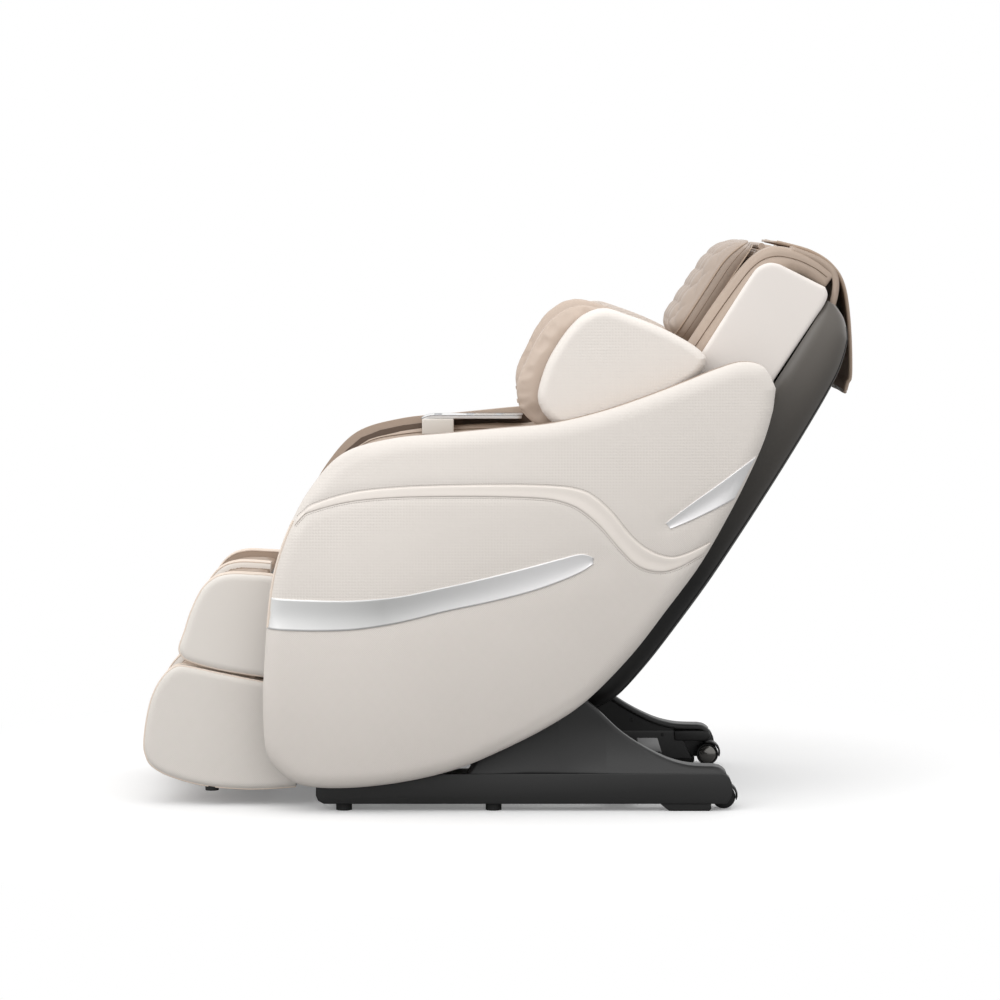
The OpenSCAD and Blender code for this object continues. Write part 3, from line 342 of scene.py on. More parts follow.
def linear(red, green, blue):
    """A colour as it is seen on a screen, from 0 to 255, as light."""
    def channel(v):
        v /= 255.0
        return v / 12.92 if v <= 0.04045 else ((v + 0.055) / 1.055) ** 2.4
    return (channel(red), channel(green), channel(blue), 1.0)


def noise(tree, place, scale, **more):
    """A noise texture's value."""
    return node(tree, "TexNoise", {"Vector": place, "Scale": scale, **more}).outputs["Fac"]


def moved_range(tree, value, to=(0.0, 1.0), start=(0.0, 1.0)):
    """A value taken from one range to another."""
    return node(tree, "MapRange", {"Value": value, "From Min": start[0], "From Max": start[1],
                                   "To Min": to[0], "To Max": to[1]}).outputs["Result"]


def bumped(tree, height, strength, distance, under=None):
    """A surface direction from a height, over another one if it is given."""
    made = node(tree, "Bump", {"Height": height, "Strength": strength, "Distance": distance})
    return feed(made, {"Normal": under} if under else {}).outputs["Normal"]


def colours_along(tree, value, stops):
    """A colour ramp over a value, from (place, colour) pairs with the two ends first."""
    ramp = node(tree, "ValToRGB", {"Fac": value})
    elements = ramp.color_ramp.elements
    for k, (at, colour) in enumerate(stops):
        stop = elements[k] if k < 2 else elements.new(at)
        stop.position, stop.color = at, linear(*colour)
    return ramp.outputs["Color"]


def node_group(name, given, made):
    """A node group with its inputs' outputs and its output node, from socket names and kinds."""
    group = bpy.data.node_groups.new(name, "ShaderNodeTree")
    for way, sockets in (("INPUT", given), ("OUTPUT", made)):
        for socket, kind in sockets.items():
            group.interface.new_socket(name=socket, in_out=way, socket_type="NodeSocket" + kind)
    return group, group.nodes.new("NodeGroupInput").outputs, group.nodes.new("NodeGroupOutput")


def leather_grain():
    """Node group: fine pebbled grain with slow tone changes and rubbed high spots."""
    group, given, out = node_group(
        "leather_grain", {"Colour": "Color", "Pebble Scale": "Float", "Tone Change": "Float",
                          "Base Roughness": "Float"},
        {"Colour": "Color", "Height": "Float", "Roughness": "Float"})
    place = object_place(group)
    pebbles = node(group, "TexVoronoi", {"Vector": place, "Scale": given["Pebble Scale"]},
                   feature="DISTANCE_TO_EDGE")
    spread = arithmetic(group, "SUBTRACT", noise(group, place, 5.0, Detail=3.0), 0.5)
    change = arithmetic(group, "MULTIPLY", spread, given["Tone Change"])
    tint = node(group, "HueSaturation", {"Value": arithmetic(group, "ADD", change, 1.0),
                                         "Color": given["Colour"]})
    feed(out, {"Colour": tint.outputs["Color"],
               "Height": arithmetic(group, "MINIMUM", pebbles.outputs["Distance"], 0.25),
               "Roughness": arithmetic(group, "MULTIPLY_ADD", spread, 0.12,
                                       given["Base Roughness"])})
    return group


def side_emboss():
    """Node group: squares embossed over most of a side panel, and a finer twill low down."""
    group, given, out = node_group(
        "side_emboss", {"Square Pitch": "Float", "Twill Pitch": "Float", "Twill": "Float"},
        {"Height": "Float"})
    split = node(group, "SeparateXYZ", {0: object_place(group)}).outputs

    def rib(coordinate, pitch):
        turns = arithmetic(group, "DIVIDE", coordinate, pitch)
        wave = arithmetic(group, "SINE", arithmetic(group, "MULTIPLY", turns, math.pi))
        return arithmetic(group, "ABSOLUTE", wave)

    x, z, square, fine = split["X"], split["Z"], given["Square Pitch"], given["Twill Pitch"]
    squares = arithmetic(group, "MULTIPLY", rib(x, square), rib(z, square))
    twill = arithmetic(group, "MULTIPLY", rib(arithmetic(group, "ADD", x, z), fine),
                       rib(arithmetic(group, "SUBTRACT", x, z), fine))
    blend = node(group, "Mix", {"Factor": given["Twill"],
                                "A": arithmetic(group, "POWER", squares, 0.35),
                                "B": arithmetic(group, "POWER", twill, 0.5)})
    feed(out, {"Height": blend.outputs["Result"]})
    return group


GRAIN, EMBOSS = leather_grain(), side_emboss()
SQUARE_PITCH, TWILL_PITCH, TWILL_SLOPE = 0.0056, 0.0040, -0.22


def leather(name, colour, roughness=0.46, pebble_scale=900.0, tone=0.06, grain=0.05,
            emboss=None, coat=0.06):
    """Sewn leather; emboss is (depth, height under which it is twill and not squares)."""
    material, tree, shader = new_material(name)
    skin = node(tree, "Group", {"Colour": linear(*colour), "Pebble Scale": pebble_scale,
                                "Tone Change": tone, "Base Roughness": roughness},
                node_tree=GRAIN).outputs
    pressed_in = None
    if emboss:
        depth, twill_below = emboss
        split = node(tree, "SeparateXYZ", {0: object_place(tree)}).outputs
        slope = arithmetic(tree, "MULTIPLY_ADD", split["X"], TWILL_SLOPE, split["Z"])
        pattern = node(tree, "Group", {
            "Square Pitch": SQUARE_PITCH, "Twill Pitch": TWILL_PITCH,
            "Twill": arithmetic(tree, "LESS_THAN", slope, twill_below)}, node_tree=EMBOSS)
        pressed_in = bumped(tree, pattern.outputs["Height"], depth, 0.0008)
    feed(shader, {"Base Color": skin["Colour"], "Roughness": skin["Roughness"],
                  "Normal": bumped(tree, skin["Height"], grain, 0.0006, pressed_in),
                  "Coat Weight": coat, "Coat Roughness": 0.35, "Specular IOR Level": 0.42})
    return material


CREAM, TAN, PEACH = (232, 225, 218), (184, 165, 149), (238, 223, 209)
panel_leather = leather("panel_cream_embossed", CREAM, emboss=(0.42, 0.455))
lining_leather = leather("panel_lining_tan", TAN, roughness=0.5)
piping_leather = leather("piping_peach", PEACH, roughness=0.4, tone=0.02)

ROWS, COLS = 190, 84
grid = between(even(panel_top, ROWS), even(panel_low, ROWS), crowded(COLS))
panel_faces = panel_face(grid)
for side, name in SIDES:
    panel = outward(slab(f"{name}_panel_cover", at_side(grid, side * panel_faces),
                         at_side(grid, side * PANEL_IN)))
    finish_piece(panel, panel_leather, "cream_leather", "chair", f"{name}_side_panel")
    # Its inner face and top rim are lined with the arm's tan leather
    panel.data.materials.append(lining_leather)
    for face in panel.data.polygons:
        if any(v >= ROWS * COLS for v in face.vertices):
            face.material_index = 1


# Narrow leather stripe let into the panel's upper seam, with two rows of stitches
# along each edge. It rises from the front, runs along the arm and dips at the rear.
STRIPE_CROWN = 1.6
STITCH_GAP, STITCH_PITCH, STITCH_LENGTH, STITCH_RADIUS = 3.2, 4.6, 3.0, 0.55
# Share of a stitch's length and of its radius at each ring
STITCH_RINGS = ((0.0, 0.15), (0.2, 0.9), (0.5, 1.0), (0.8, 0.9), (1.0, 0.15))
stripe_leather = leather("stripe_cream", (241, 233, 225), roughness=0.42)
stitch_thread = leather("stitch_thread_grey", (166, 158, 150), roughness=0.6, tone=0.0)


def side_strip(name, top, low, side, lift_across, rows, cols, thick=2.4):
    """A strip that follows the panel's face; lift_across gives its height from edge to edge."""
    share = np.linspace(0, 1, cols)
    flat = between(even(smooth_line(top), rows), even(smooth_line(low), rows), share)
    face = panel_face(flat) + lift_across(share)[None, :]
    return outward(slab(name, at_side(flat, side * face), at_side(flat, side * (face - thick))))


def beads_along(name, path, side, pitch, length, radius):
    """Short rounded stitches set end to end along a path on one side of the chair."""
    run = np.concatenate([[0.0], np.cumsum(np.linalg.norm(np.diff(path, axis=0), axis=1))])
    points, faces = [], []
    for start in np.arange(0.0, run[-1] - length, pitch):
        ends = [np.array([np.interp(s, run, path[:, k]) for k in range(3)])
                for s in (start, start + length)]
        along = (ends[1] - ends[0]) / max(np.linalg.norm(ends[1] - ends[0]), 1e-9)
        up = np.array([0.0, side, 0.0])
        up -= along * (up @ along)
        up /= max(np.linalg.norm(up), 1e-9)
        cross = np.cross(along, up)
        first = len(points)
        for share, size in STITCH_RINGS:
            middle = ends[0] + (ends[1] - ends[0]) * share
            for k in range(6):
                a = k * math.pi / 3
                points.append(middle + radius * size * (math.cos(a) * cross + math.sin(a) * up))
        for r in range(len(STITCH_RINGS) - 1):
            for k in range(6):
                a, b = first + r * 6 + k, first + r * 6 + (k + 1) % 6
                faces.append((a, b, b + 6, a + 6))
        faces.append(tuple(first + k for k in range(5, -1, -1)))
        faces.append(tuple(first + 24 + k for k in range(6)))
    return outward(add_mesh(name, points, faces))


def beside(line):
    """Unit directions square to a line in the side view, to its left."""
    along = np.gradient(line, axis=0)
    along /= np.maximum(np.linalg.norm(along, axis=1, keepdims=True), 1e-9)
    return np.stack([-along[:, 1], along[:, 0]], axis=1)


def shifted(line, distance):
    """A line in the side view moved sideways by a distance."""
    return line + beside(line) * distance


for side, name in SIDES:
    stripe = side_strip(f"{name}_stripe", STRIPE_TOP, STRIPE_LOW, side,
                        lambda v: 1.0 + STRIPE_CROWN * (1 - np.abs(2 * v - 1) ** 2.5), 150, 9)
    finish_piece(stripe, stripe_leather, "stripe_leather", "chair", "side_stripes")
    for edge, line in (("upper", shifted(even(smooth_line(STRIPE_TOP), 200), STITCH_GAP)),
                       ("lower", shifted(even(smooth_line(STRIPE_LOW), 200), -STITCH_GAP))):
        path = at_side(line, side * (panel_face(line) + 0.1))
        row = beads_along(f"{name}_stripe_stitches_{edge}", path, side, STITCH_PITCH,
                          STITCH_LENGTH, STITCH_RADIUS)
        finish_piece(row, stitch_thread, "stripe_leather", "chair")


# Two satin silver trims on each panel: a long hollow blade from the knee to the hip
# and a short one at the rear. They are moulded, plated and clipped into the cover.
TRIM_HOLLOW, TRIM_LIP, TRIM_LIFT, TRIM_THICK = 2.2, 0.3, 1.6, 3.0


def brushed_silver():
    """Satin plating with long faint polishing lines and a painted reflection: a colour ramp along
    the chair, bright at the trims' ends and darker in the middle, with a slow random change of
    shade.
    """
    material, tree, shader = new_material("trim_satin_silver")
    place = object_place(tree)
    stretch = node(tree, "Mapping", {"Vector": place, "Scale": (6.0, 6.0, 260.0)})
    lines = noise(tree, stretch.outputs["Vector"], 3.0)
    split = node(tree, "SeparateXYZ", {0: place}).outputs
    # Painted reflection: the colour runs from bright at the front of the long trim, to darker near
    # its middle, to bright again towards the rear.
    along = moved_range(tree, split["X"], start=(-0.43, 0.15))
    shade = arithmetic(tree, "MULTIPLY_ADD", noise(tree, place, 3.4), 0.16, along)
    feed(shader, {"Base Color": colours_along(tree, shade, (
        (0.0, (248, 248, 247)), (1.0, (242, 241, 241)), (0.45, (202, 202, 201)))),
                  "Roughness": moved_range(tree, lines, (0.36, 0.5)), "Metallic": 0.45})
    return material


silver = brushed_silver()
for side, name in SIDES:
    for end, top, low, solid in (("front", FRONT_TRIM_TOP, FRONT_TRIM_LOW, "front_trims"),
                                 ("rear", REAR_TRIM_TOP, REAR_TRIM_LOW, "rear_trims")):
        trim = side_strip(f"{name}_{end}_trim", top, low, side,
                          lambda v: TRIM_LIFT + TRIM_LIP - TRIM_HOLLOW * (0.45 + 0.55 * v)
                          * np.sin(np.pi * v) ** 0.8, 120, 17, TRIM_THICK)
        finish_piece(trim, silver, "silver_trim", "chair", solid)


# Piping: a thin peach cord sewn into the panel's front seam, from the arm's front
# down to the silver trim, where the lower field starts with a small step.
PIPING_RADIUS, PIPING_INSET, PIPING_LOW, PIPING_HIGH = 2.6, -2.0, 352, 552


def tube(name, path, radius, material, body, closed=False):
    """A round cord along points in millimetres."""
    curve = bpy.data.curves.new(name, "CURVE")
    curve.dimensions = "3D"
    curve.bevel_depth = radius * MM
    curve.bevel_resolution = 3
    curve.use_fill_caps = True
    spline = curve.splines.new("POLY")
    spline.points.add(len(path) - 1)
    spline.use_cyclic_u = closed
    for point, place in zip(spline.points, np.asarray(path, float) * MM):
        point.co = (*place, 1.0)
    spline.use_smooth = True
    cord = placed(name, curve)
    curve.materials.append(material)
    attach(cord, body)
    return cord


front_edge = even(smooth_line(PANEL_TOP), 400)
front_edge = front_edge[(front_edge[:, 1] > PIPING_LOW) & (front_edge[:, 1] < PIPING_HIGH)]
for side, name in SIDES:
    inset = shifted(front_edge, PIPING_INSET)
    path = at_side(inset, side * (panel_face(inset) + 0.6))
    tube(f"{name}_panel_piping", path, PIPING_RADIUS, piping_leather, "chair")


# ---------------------------------------------------------------- seat cushion
# A foam block in tan leather on the seat board, with a rolled front edge, two sewn
# channels across it and a seam along each side.
tan_leather = leather("tan_leather", TAN, roughness=0.44, pebble_scale=700.0, grain=0.09)
tan_seam = leather("tan_seam_thread", (132, 112, 95), roughness=0.6, tone=0.0)
tan_piping = leather("tan_piping", (176, 156, 138), roughness=0.4, tone=0.02)
CLOTH_FRAMES = 14


def one_side(mesh, side):
    """Keeps only the solids of a mesh on one side of the chair."""
    reworked(mesh, lambda work: bmesh.ops.delete(
        work, geom=[v for v in work.verts if v.co.y * side < 0], context="VERTS"))


def solid_form(name, solid, side=0):
    """A new piece with the form of a solid, or of its part on one side of the chair."""
    mesh = NODES[solid].data.copy()
    mesh.materials.clear()
    if side:
        one_side(mesh, side)
    return placed(name, mesh)


def applied(piece):
    """Makes a piece's modifiers part of its mesh."""
    bpy.context.view_layer.update()
    seen = piece.evaluated_get(bpy.context.evaluated_depsgraph_get())
    mesh = bpy.data.meshes.new_from_object(seen)
    piece.modifiers.clear()
    piece.data = mesh
    return piece


def places(mesh):
    """Vertex places of a mesh as an array, in metres."""
    flat = np.zeros(len(mesh.vertices) * 3)
    mesh.vertices.foreach_get("co", flat)
    return flat.reshape(-1, 3)


def set_places(mesh, points):
    mesh.vertices.foreach_set("co", points.ravel())
    mesh.update()


def directions(mesh):
    """Vertex normals of a mesh as an array."""
    flat = np.zeros(len(mesh.vertices) * 3, np.float32)
    mesh.vertex_normals.foreach_get("vector", flat)
    return flat.reshape(-1, 3).astype(float)


def stuffed(name, solid, side=0, voxel=6.0, rounds=6, shrink=3.0, cap=7.0, pressure=4.0):
    """Leather blown over foam: a solid's form, rounded off and swollen by pressure."""
    piece = solid_form(name, solid, side)
    skin = piece.modifiers.new("skin", "REMESH")
    skin.mode = "VOXEL"
    skin.voxel_size = voxel * MM
    ease = piece.modifiers.new("ease", "SMOOTH")
    ease.factor, ease.iterations = 0.5, rounds
    applied(piece)
    start = places(piece.data) - directions(piece.data) * shrink * MM
    set_places(piece.data, start)
    cloth = piece.modifiers.new("cloth", "CLOTH")
    cloth.settings.quality = 4
    cloth.settings.mass = 0.3
    cloth.settings.bending_stiffness = 0.6
    cloth.settings.use_pressure = True
    cloth.settings.uniform_pressure_force = pressure
    cloth.settings.effector_weights.gravity = 0.0
    cloth.point_cache.frame_start, cloth.point_cache.frame_end = 1, CLOTH_FRAMES
    for step in range(1, CLOTH_FRAMES + 1):
        scene.frame_set(step)
    applied(piece)
    scene.frame_set(1)
    move = places(piece.data) - start
    size = np.linalg.norm(move, axis=1, keepdims=True)
    move *= np.minimum(1.0, cap * MM / np.maximum(size, 1e-9))
    set_places(piece.data, start + move)
    smooth_faces(piece.data)
    return piece


def pressed(piece, path, width, depth):
    """Draws a piece's surface in along a sewn line, given in millimetres."""
    points = places(piece.data)
    out = directions(piece.data)
    path = even(np.asarray(path, float), max(2, int(len(path) * 2))) * MM
    near = np.full(len(points), 1e9)
    lo, hi = path.min(0) - 4 * width * MM, path.max(0) + 4 * width * MM
    inside = np.all((points > lo) & (points < hi), axis=1)
    for a, b in zip(path, path[1:]):
        run = b - a
        t = np.clip(((points[inside] - a) @ run) / max(run @ run, 1e-12), 0.0, 1.0)
        gap = np.linalg.norm(points[inside] - a - t[:, None] * run, axis=1)
        near[inside] = np.minimum(near[inside], gap)
    points -= out * (depth * MM * np.exp(-(near / (width * MM)) ** 2))[:, None]
    set_places(piece.data, points)
    return piece


def laid_on(piece, starts, ways, lift=0.0):
    """Where rays from some points, in millimetres, meet a piece; rays that miss are left out."""
    bpy.context.view_layer.update()
    mesh = piece.data
    tree = BVHTree.FromPolygons([v.co for v in mesh.vertices],
                                [tuple(p.vertices) for p in mesh.polygons])
    hits = []
    for start, way in zip(starts, ways):
        place, normal = tree.ray_cast(Vector(start) * MM, Vector(way))[:2]
        if place is not None:
            if normal.dot(Vector(way)) > 0:
                normal = -normal
            hits.append(np.array(place + normal * lift * MM) / MM)
    return np.array(hits)


def from_side(piece, line, side, lift=0.0, reach=600.0):
    """Lays a side-view line on the outside of a piece."""
    starts = [(x, side * reach, z) for x, z in line]
    return laid_on(piece, starts, [(0.0, -side, 0.0)] * len(starts), lift)


def sewn(name, piece, path, body, width, depth, thread):
    """A seam: the surface drawn in along a path, with its thread in the valley."""
    pressed(piece, path, width, depth)
    points, out = places(piece.data), directions(piece.data)
    sunk = []
    for p in np.asarray(path, float):
        k = int(np.argmin(np.sum((points - p * MM) ** 2, axis=1)))
        sunk.append(p - out[k] * depth * 0.75)
    return tube(name, np.array(sunk), thread, tan_seam, body)


def other_side(piece, name):
    """The same piece for the chair's left side."""
    mesh = piece.data.copy()
    points = places(mesh)
    points[:, 1] *= -1
    set_places(mesh, points)
    mesh.flip_normals()
    return placed(name, mesh)


def both_sides(right, part):
    """A right-hand piece and its left-hand copy, each with its side and the side's name."""
    return (right, 1, "right"), (other_side(right, f"left_{part}"), -1, "left")


SEAT_FRONT, SEAT_SLOPE = (-378.0, 378.0), math.radians(7.0)
SEAT_LENGTH, SEAT_HALF = 458.0, 262.0
SEAT_CHANNELS, SEAT_CHANNEL_IN, SEAT_SEAM_IN = (0.36, 0.68), 12, 46
BACK_CHANNELS, BACK_CHANNEL_HALF = (348.0, 545.0), 158
BACK_SEAM_HALF, BACK_SEAM_SPAN = 118, (200, 900)
SEAM_COUNT = 60
# Width and depth of a sewn valley and radius of its thread
CHANNEL, SHALLOW_CHANNEL, LONG_SEAM = (11.0, 6.0, 0.8), (11.0, 5.0, 0.8), (8.0, 3.0, 0.8)


def on_seat(length, side, up):
    """A place on the seat, from distances back, across and up from the board's front."""
    return (SEAT_FRONT[0] + length * math.cos(SEAT_SLOPE) + up * math.sin(SEAT_SLOPE), side,
            SEAT_FRONT[1] - length * math.sin(SEAT_SLOPE) + up * math.cos(SEAT_SLOPE))


def down_on_seat(piece, lengths, sides):
    """Lays a line, seen from above, on the seat."""
    starts = [on_seat(a, b, 160.0) for a, b in zip(lengths, sides)]
    way = np.array(on_seat(0, 0, 0)) - np.array(on_seat(0, 0, 100.0))
    return laid_on(piece, starts, [tuple(way / np.linalg.norm(way))] * len(starts))


seat = stuffed("seat_cushion_cover", "seat_cushion", shrink=3.5, cap=7.0)
sides = np.linspace(-1, 1, SEAM_COUNT) * (SEAT_HALF - SEAT_CHANNEL_IN)
for k, share in enumerate(SEAT_CHANNELS):
    line = down_on_seat(seat, np.full(SEAM_COUNT, share * SEAT_LENGTH), sides)
    sewn(f"seat_channel_{k + 1}", seat, line, "chair", *CHANNEL)
for side, name in SIDES:
    lengths = np.linspace(24, SEAT_LENGTH - 18, SEAM_COUNT)
    line = down_on_seat(seat, lengths, np.full(SEAM_COUNT, side * (SEAT_HALF - SEAT_SEAM_IN)))
    sewn(f"seat_long_seam_{name}", seat, line, "chair", *LONG_SEAM)
finish_piece(seat, tan_leather, "tan_leather", "chair", "seat_cushion")


# ---------------------------------------------------------------- back cushion
# The long cushion between the bolsters: foam over the massage gap, in tan leather,
# with sewn channels at the waist and the shoulder blades.
BACK_FOOT, BACK_TILT = (180.0, 170.0), math.radians(32.7)


def on_back(rear, side, up):
    """A place on the backrest, from distances to its rear, across and up along it."""
    return (BACK_FOOT[0] + up * math.sin(BACK_TILT) + rear * math.cos(BACK_TILT), side,
            BACK_FOOT[1] + up * math.cos(BACK_TILT) - rear * math.sin(BACK_TILT))


def side_line_on_back(points):
    """A line given up the back, as side-view points of the chair."""
    return np.array([(on_back(a, 0, b)[0], on_back(a, 0, b)[2]) for a, b in points])


def onto_back_front(piece, ups, sides):
    """Lays a line on the front of the backrest."""
    starts = [on_back(-420.0, b, a) for a, b in zip(ups, sides)]
    way = np.array(on_back(1.0, 0, 0)) - np.array(on_back(0.0, 0, 0))
    return laid_on(piece, starts, [tuple(way)] * len(starts))


back_pad = stuffed("back_cushion_cover", "back_pad", shrink=4.5, cap=3.5)
for k, up in enumerate(BACK_CHANNELS):
    line = onto_back_front(back_pad, np.full(50, up),
                           np.linspace(-BACK_CHANNEL_HALF, BACK_CHANNEL_HALF, 50))
    sewn(f"back_channel_{k + 1}", back_pad, line, "chair", *SHALLOW_CHANNEL)
for side, name in SIDES:
    line = onto_back_front(back_pad, np.linspace(*BACK_SEAM_SPAN, 90),
                           np.full(90, side * BACK_SEAM_HALF))
    sewn(f"back_long_seam_{name}", back_pad, line, "chair", *LONG_SEAM)
finish_piece(back_pad, tan_leather, "tan_leather", "chair", "back_pad")


# ---------------------------------------------------------------- arm pads
# The inner faces of the arms: airbags under tan leather, rolled over the top.
arm = stuffed("right_arm_pad", "arm_pads", side=1, shrink=2.5, cap=5.0)
arm_line = smooth_line([(-322, 596), (-296, 634), (-258, 660), (-190, 673), (-100, 681),
                        (0, 684), (50, 684)])
ARM_INNER_START = 120.0
starts = [(x, ARM_INNER_START, z) for x, z in arm_line]
inner = laid_on(arm, starts, [(0.0, 1.0, 0.0)] * len(starts))
pressed(arm, inner, 7.0, 2.4)
for pad, side, name in both_sides(arm, "arm_pad"):
    finish_piece(pad, tan_leather, "tan_leather", "chair", "arm_pads")
    path = inner * np.array([1.0, side, 1.0]) + np.array([0.0, side * 1.6, 0.0])
    tube(f"{name}_arm_seam", path, 0.8, tan_seam, "chair")


# ---------------------------------------------------------------- back bolsters
# Two long tan rolls that frame the back cushion, run over its top and end behind
# the head. A thin seam runs round each one's outer face.
BOLSTER_SEAM = [(-222, 420), (-222, 560), (-221, 700), (-218, 800), (-211, 872), (-190, 908),
                (-152, 926), (-112, 932), (-84, 930)]
bolster = stuffed("right_back_bolster", "back_bolsters", side=1, voxel=5.5, shrink=3.0, cap=5.5)
seam = from_side(bolster, side_line_on_back(smooth_line(BOLSTER_SEAM)), 1)
pressed(bolster, seam, 6.0, 1.8)
for roll, side, name in both_sides(bolster, "back_bolster"):
    finish_piece(roll, tan_leather, "tan_leather", "chair", "back_bolsters")
    path = seam * np.array([1.0, side, 1.0]) - np.array([0.0, side * 1.0, 0.0])
    tube(f"{name}_bolster_seam", path, 0.8, tan_seam, "chair")


# ---------------------------------------------------------------- upper side panels
# Plain cream leather over a thin board, on each side of the back above the arms.
# The front edge rolls into the bolster and the top corner is round.
CREAM_FRONT = [(-203, 560), (-205, 660), (-206, 760), (-206, 850), (-203, 876), (-190, 894),
               (-172, 902)]
CREAM_BACK = [(-64, 560), (-64, 660), (-63, 760), (-62, 850), (-61.5, 882), (-66, 902),
              (-78, 912)]
UPPER_FACE, UPPER_ROLL, UPPER_THICK, UPPER_CROWN = 251.6, 9.0, 6.0, 6.0
# Painted light: a lighter copy of the side panels' cream, for the brighter look of these upper
# faces.
plain_leather_painted_light = leather("plain_cream_leather", (243, 236, 230), roughness=0.45)


def crowned_grid(front, back, rows, cols, roll):
    """Points between two curves and how far inside the outline each lies, from 0 to 1."""
    front, back = even(smooth_line(front), rows), even(smooth_line(back), rows)
    flat = between(front, back, crowded(cols))
    outline = np.vstack([front, back[::-1], front[:1]])
    return flat, rolled(distance_to(outline, flat) / roll)


flat, crown = crowned_grid(CREAM_FRONT, CREAM_BACK, 90, 40, UPPER_ROLL)
world_points = np.array([[on_back(a, 0, b) for a, b in row] for row in flat])
for side, name in SIDES:
    outer, inner_face = world_points.copy(), world_points.copy()
    outer[..., 1] = side * (UPPER_FACE + UPPER_THICK + UPPER_CROWN * crown)
    inner_face[..., 1] = side * UPPER_FACE
    panel = outward(slab(f"{name}_upper_panel_cover", outer, inner_face))
    finish_piece(panel, plain_leather_painted_light, "cream_leather", "chair", "upper_side_panels")


# ---------------------------------------------------------------- top closing pad
# A thin foam strip in tan leather between the bolsters, tacked to the shell's top. It
# closes the back under the head cover.
CLOSING_LINE = [(-168, 944), (-120, 954), (-84, 952), (-62, 938), (-48, 914), (-40, 890)]
CLOSING_HALF, CLOSING_THICK = 240.0, 12.0
closing = even(smooth_line(CLOSING_LINE, 12), 40)
outer, under = (np.array([[on_back(a, s * CLOSING_HALF, b) for s in np.linspace(-1, 1, 60)]
                          for a, b in shifted(closing, lift)])
                for lift in (0.0, -CLOSING_THICK))
closing_pad = outward(slab("top_closing_pad", outer, under))
finish_piece(closing_pad, tan_leather, "tan_leather", "chair")


# ---------------------------------------------------------------- rear shell
# One moulded shell closes the back: satin charcoal plastic, pinched towards the
# waist, with a thin bead a finger's width inside its rear edge.
SHELL_REAR = [(-2, 0), (12, 20), (27, 55), (38, 120), (45, 192), (52, 314), (52, 430),
              (50, 587), (47, 690), (43, 760), (37, 804), (24, 845), (12, 864), (-10, 884),
              (-34, 894)]
SHELL_WIDE = [(200, 0), (212, 60), (216, 250), (226, 330), (248, 430), (259, 520), (262, 600),
              (262, 820), (250, 894)]
SHELL_LIP, SHELL_WALL = -60.0, 4.5
SHELL_SQUARE_REAR, SHELL_SQUARE_SIDE = 0.45, 0.28
BEAD_AT, BEAD_RADIUS, BEAD_SPAN = 0.30, 1.7, (8, 872)


def moulded(name, low, high, roughness, stipple=0.15, rise=None):
    """Moulded plastic: stipple and a slow random change of tone; if rise is given, the colour is
    painted shade and light instead, from low at the lower of two heights to high at the upper.
    """
    material, tree, shader = new_material(name)
    place = object_place(tree)
    shade, grit = noise(tree, place, 3.0), noise(tree, place, 1400.0)
    if rise:
        split = node(tree, "SeparateXYZ", {0: place}).outputs
        fade, stops = moved_range(tree, split["Z"], start=rise), ((0.0, low), (1.0, high))
    else:
        fade, stops = shade, ((0.3, low), (0.7, high))
    feed(shader, {"Base Color": colours_along(tree, fade, stops),
                  "Roughness": moved_range(tree, shade, (roughness - 0.06, roughness + 0.06)),
                  "Normal": bumped(tree, grit, stipple, 0.0003),
                  "Coat Weight": 0.0, "Coat Roughness": 0.12})
    return material


# Painted shade and light: the shell's colour goes from near-black at the bottom to a lighter grey
# near the top, by height.
shell_plastic_painted_shade = moulded("shell_charcoal", (12, 11, 10), (112, 107, 101), 0.42, rise=(0.42, 0.99))
shell_bead_plastic = moulded("shell_bead_black", (26, 26, 26), (32, 32, 31), 0.3)
SHELL_COLS = 72
shell_ups = np.concatenate([np.arange(24) * 2.5, 60 + np.arange(80) * 8.75,
                            np.linspace(760, 894, 46)])
rear_curve, wide_curve = smooth_line(SHELL_REAR, 12), smooth_line(SHELL_WIDE, 12)


def shell_section(up, angles, inset):
    """Points of the shell's section at a height up the back."""
    rear = np.interp(up, rear_curve[:, 1], rear_curve[:, 0])
    half = np.interp(up, wide_curve[:, 1], wide_curve[:, 0]) - inset
    depth = rear - SHELL_LIP - inset
    back = SHELL_LIP + depth * np.power(np.sin(angles), SHELL_SQUARE_REAR)
    sides = -half * np.sign(np.cos(angles)) * np.power(np.abs(np.cos(angles)),
                                                       SHELL_SQUARE_SIDE)
    return [on_back(a, b, up) for a, b in zip(back, sides)]


angles = np.linspace(0, np.pi, SHELL_COLS)
outer = np.array([shell_section(up, angles, 0.0) for up in shell_ups])
inner_skin = np.array([shell_section(up, angles, SHELL_WALL) for up in shell_ups])
shell = outward(slab("rear_shell", outer, inner_skin))
finish_piece(shell, shell_plastic_painted_shade, "dark_shell", "chair", "back_shell")
for side, name in SIDES:
    turn = np.array([math.pi * BEAD_AT if side < 0 else math.pi * (1 - BEAD_AT)])
    path = [shell_section(up, turn, 0.0)[0] for up in np.linspace(*BEAD_SPAN, 120)]
    tube(f"{name}_shell_bead", np.array(path), BEAD_RADIUS, shell_bead_plastic,
         "chair")


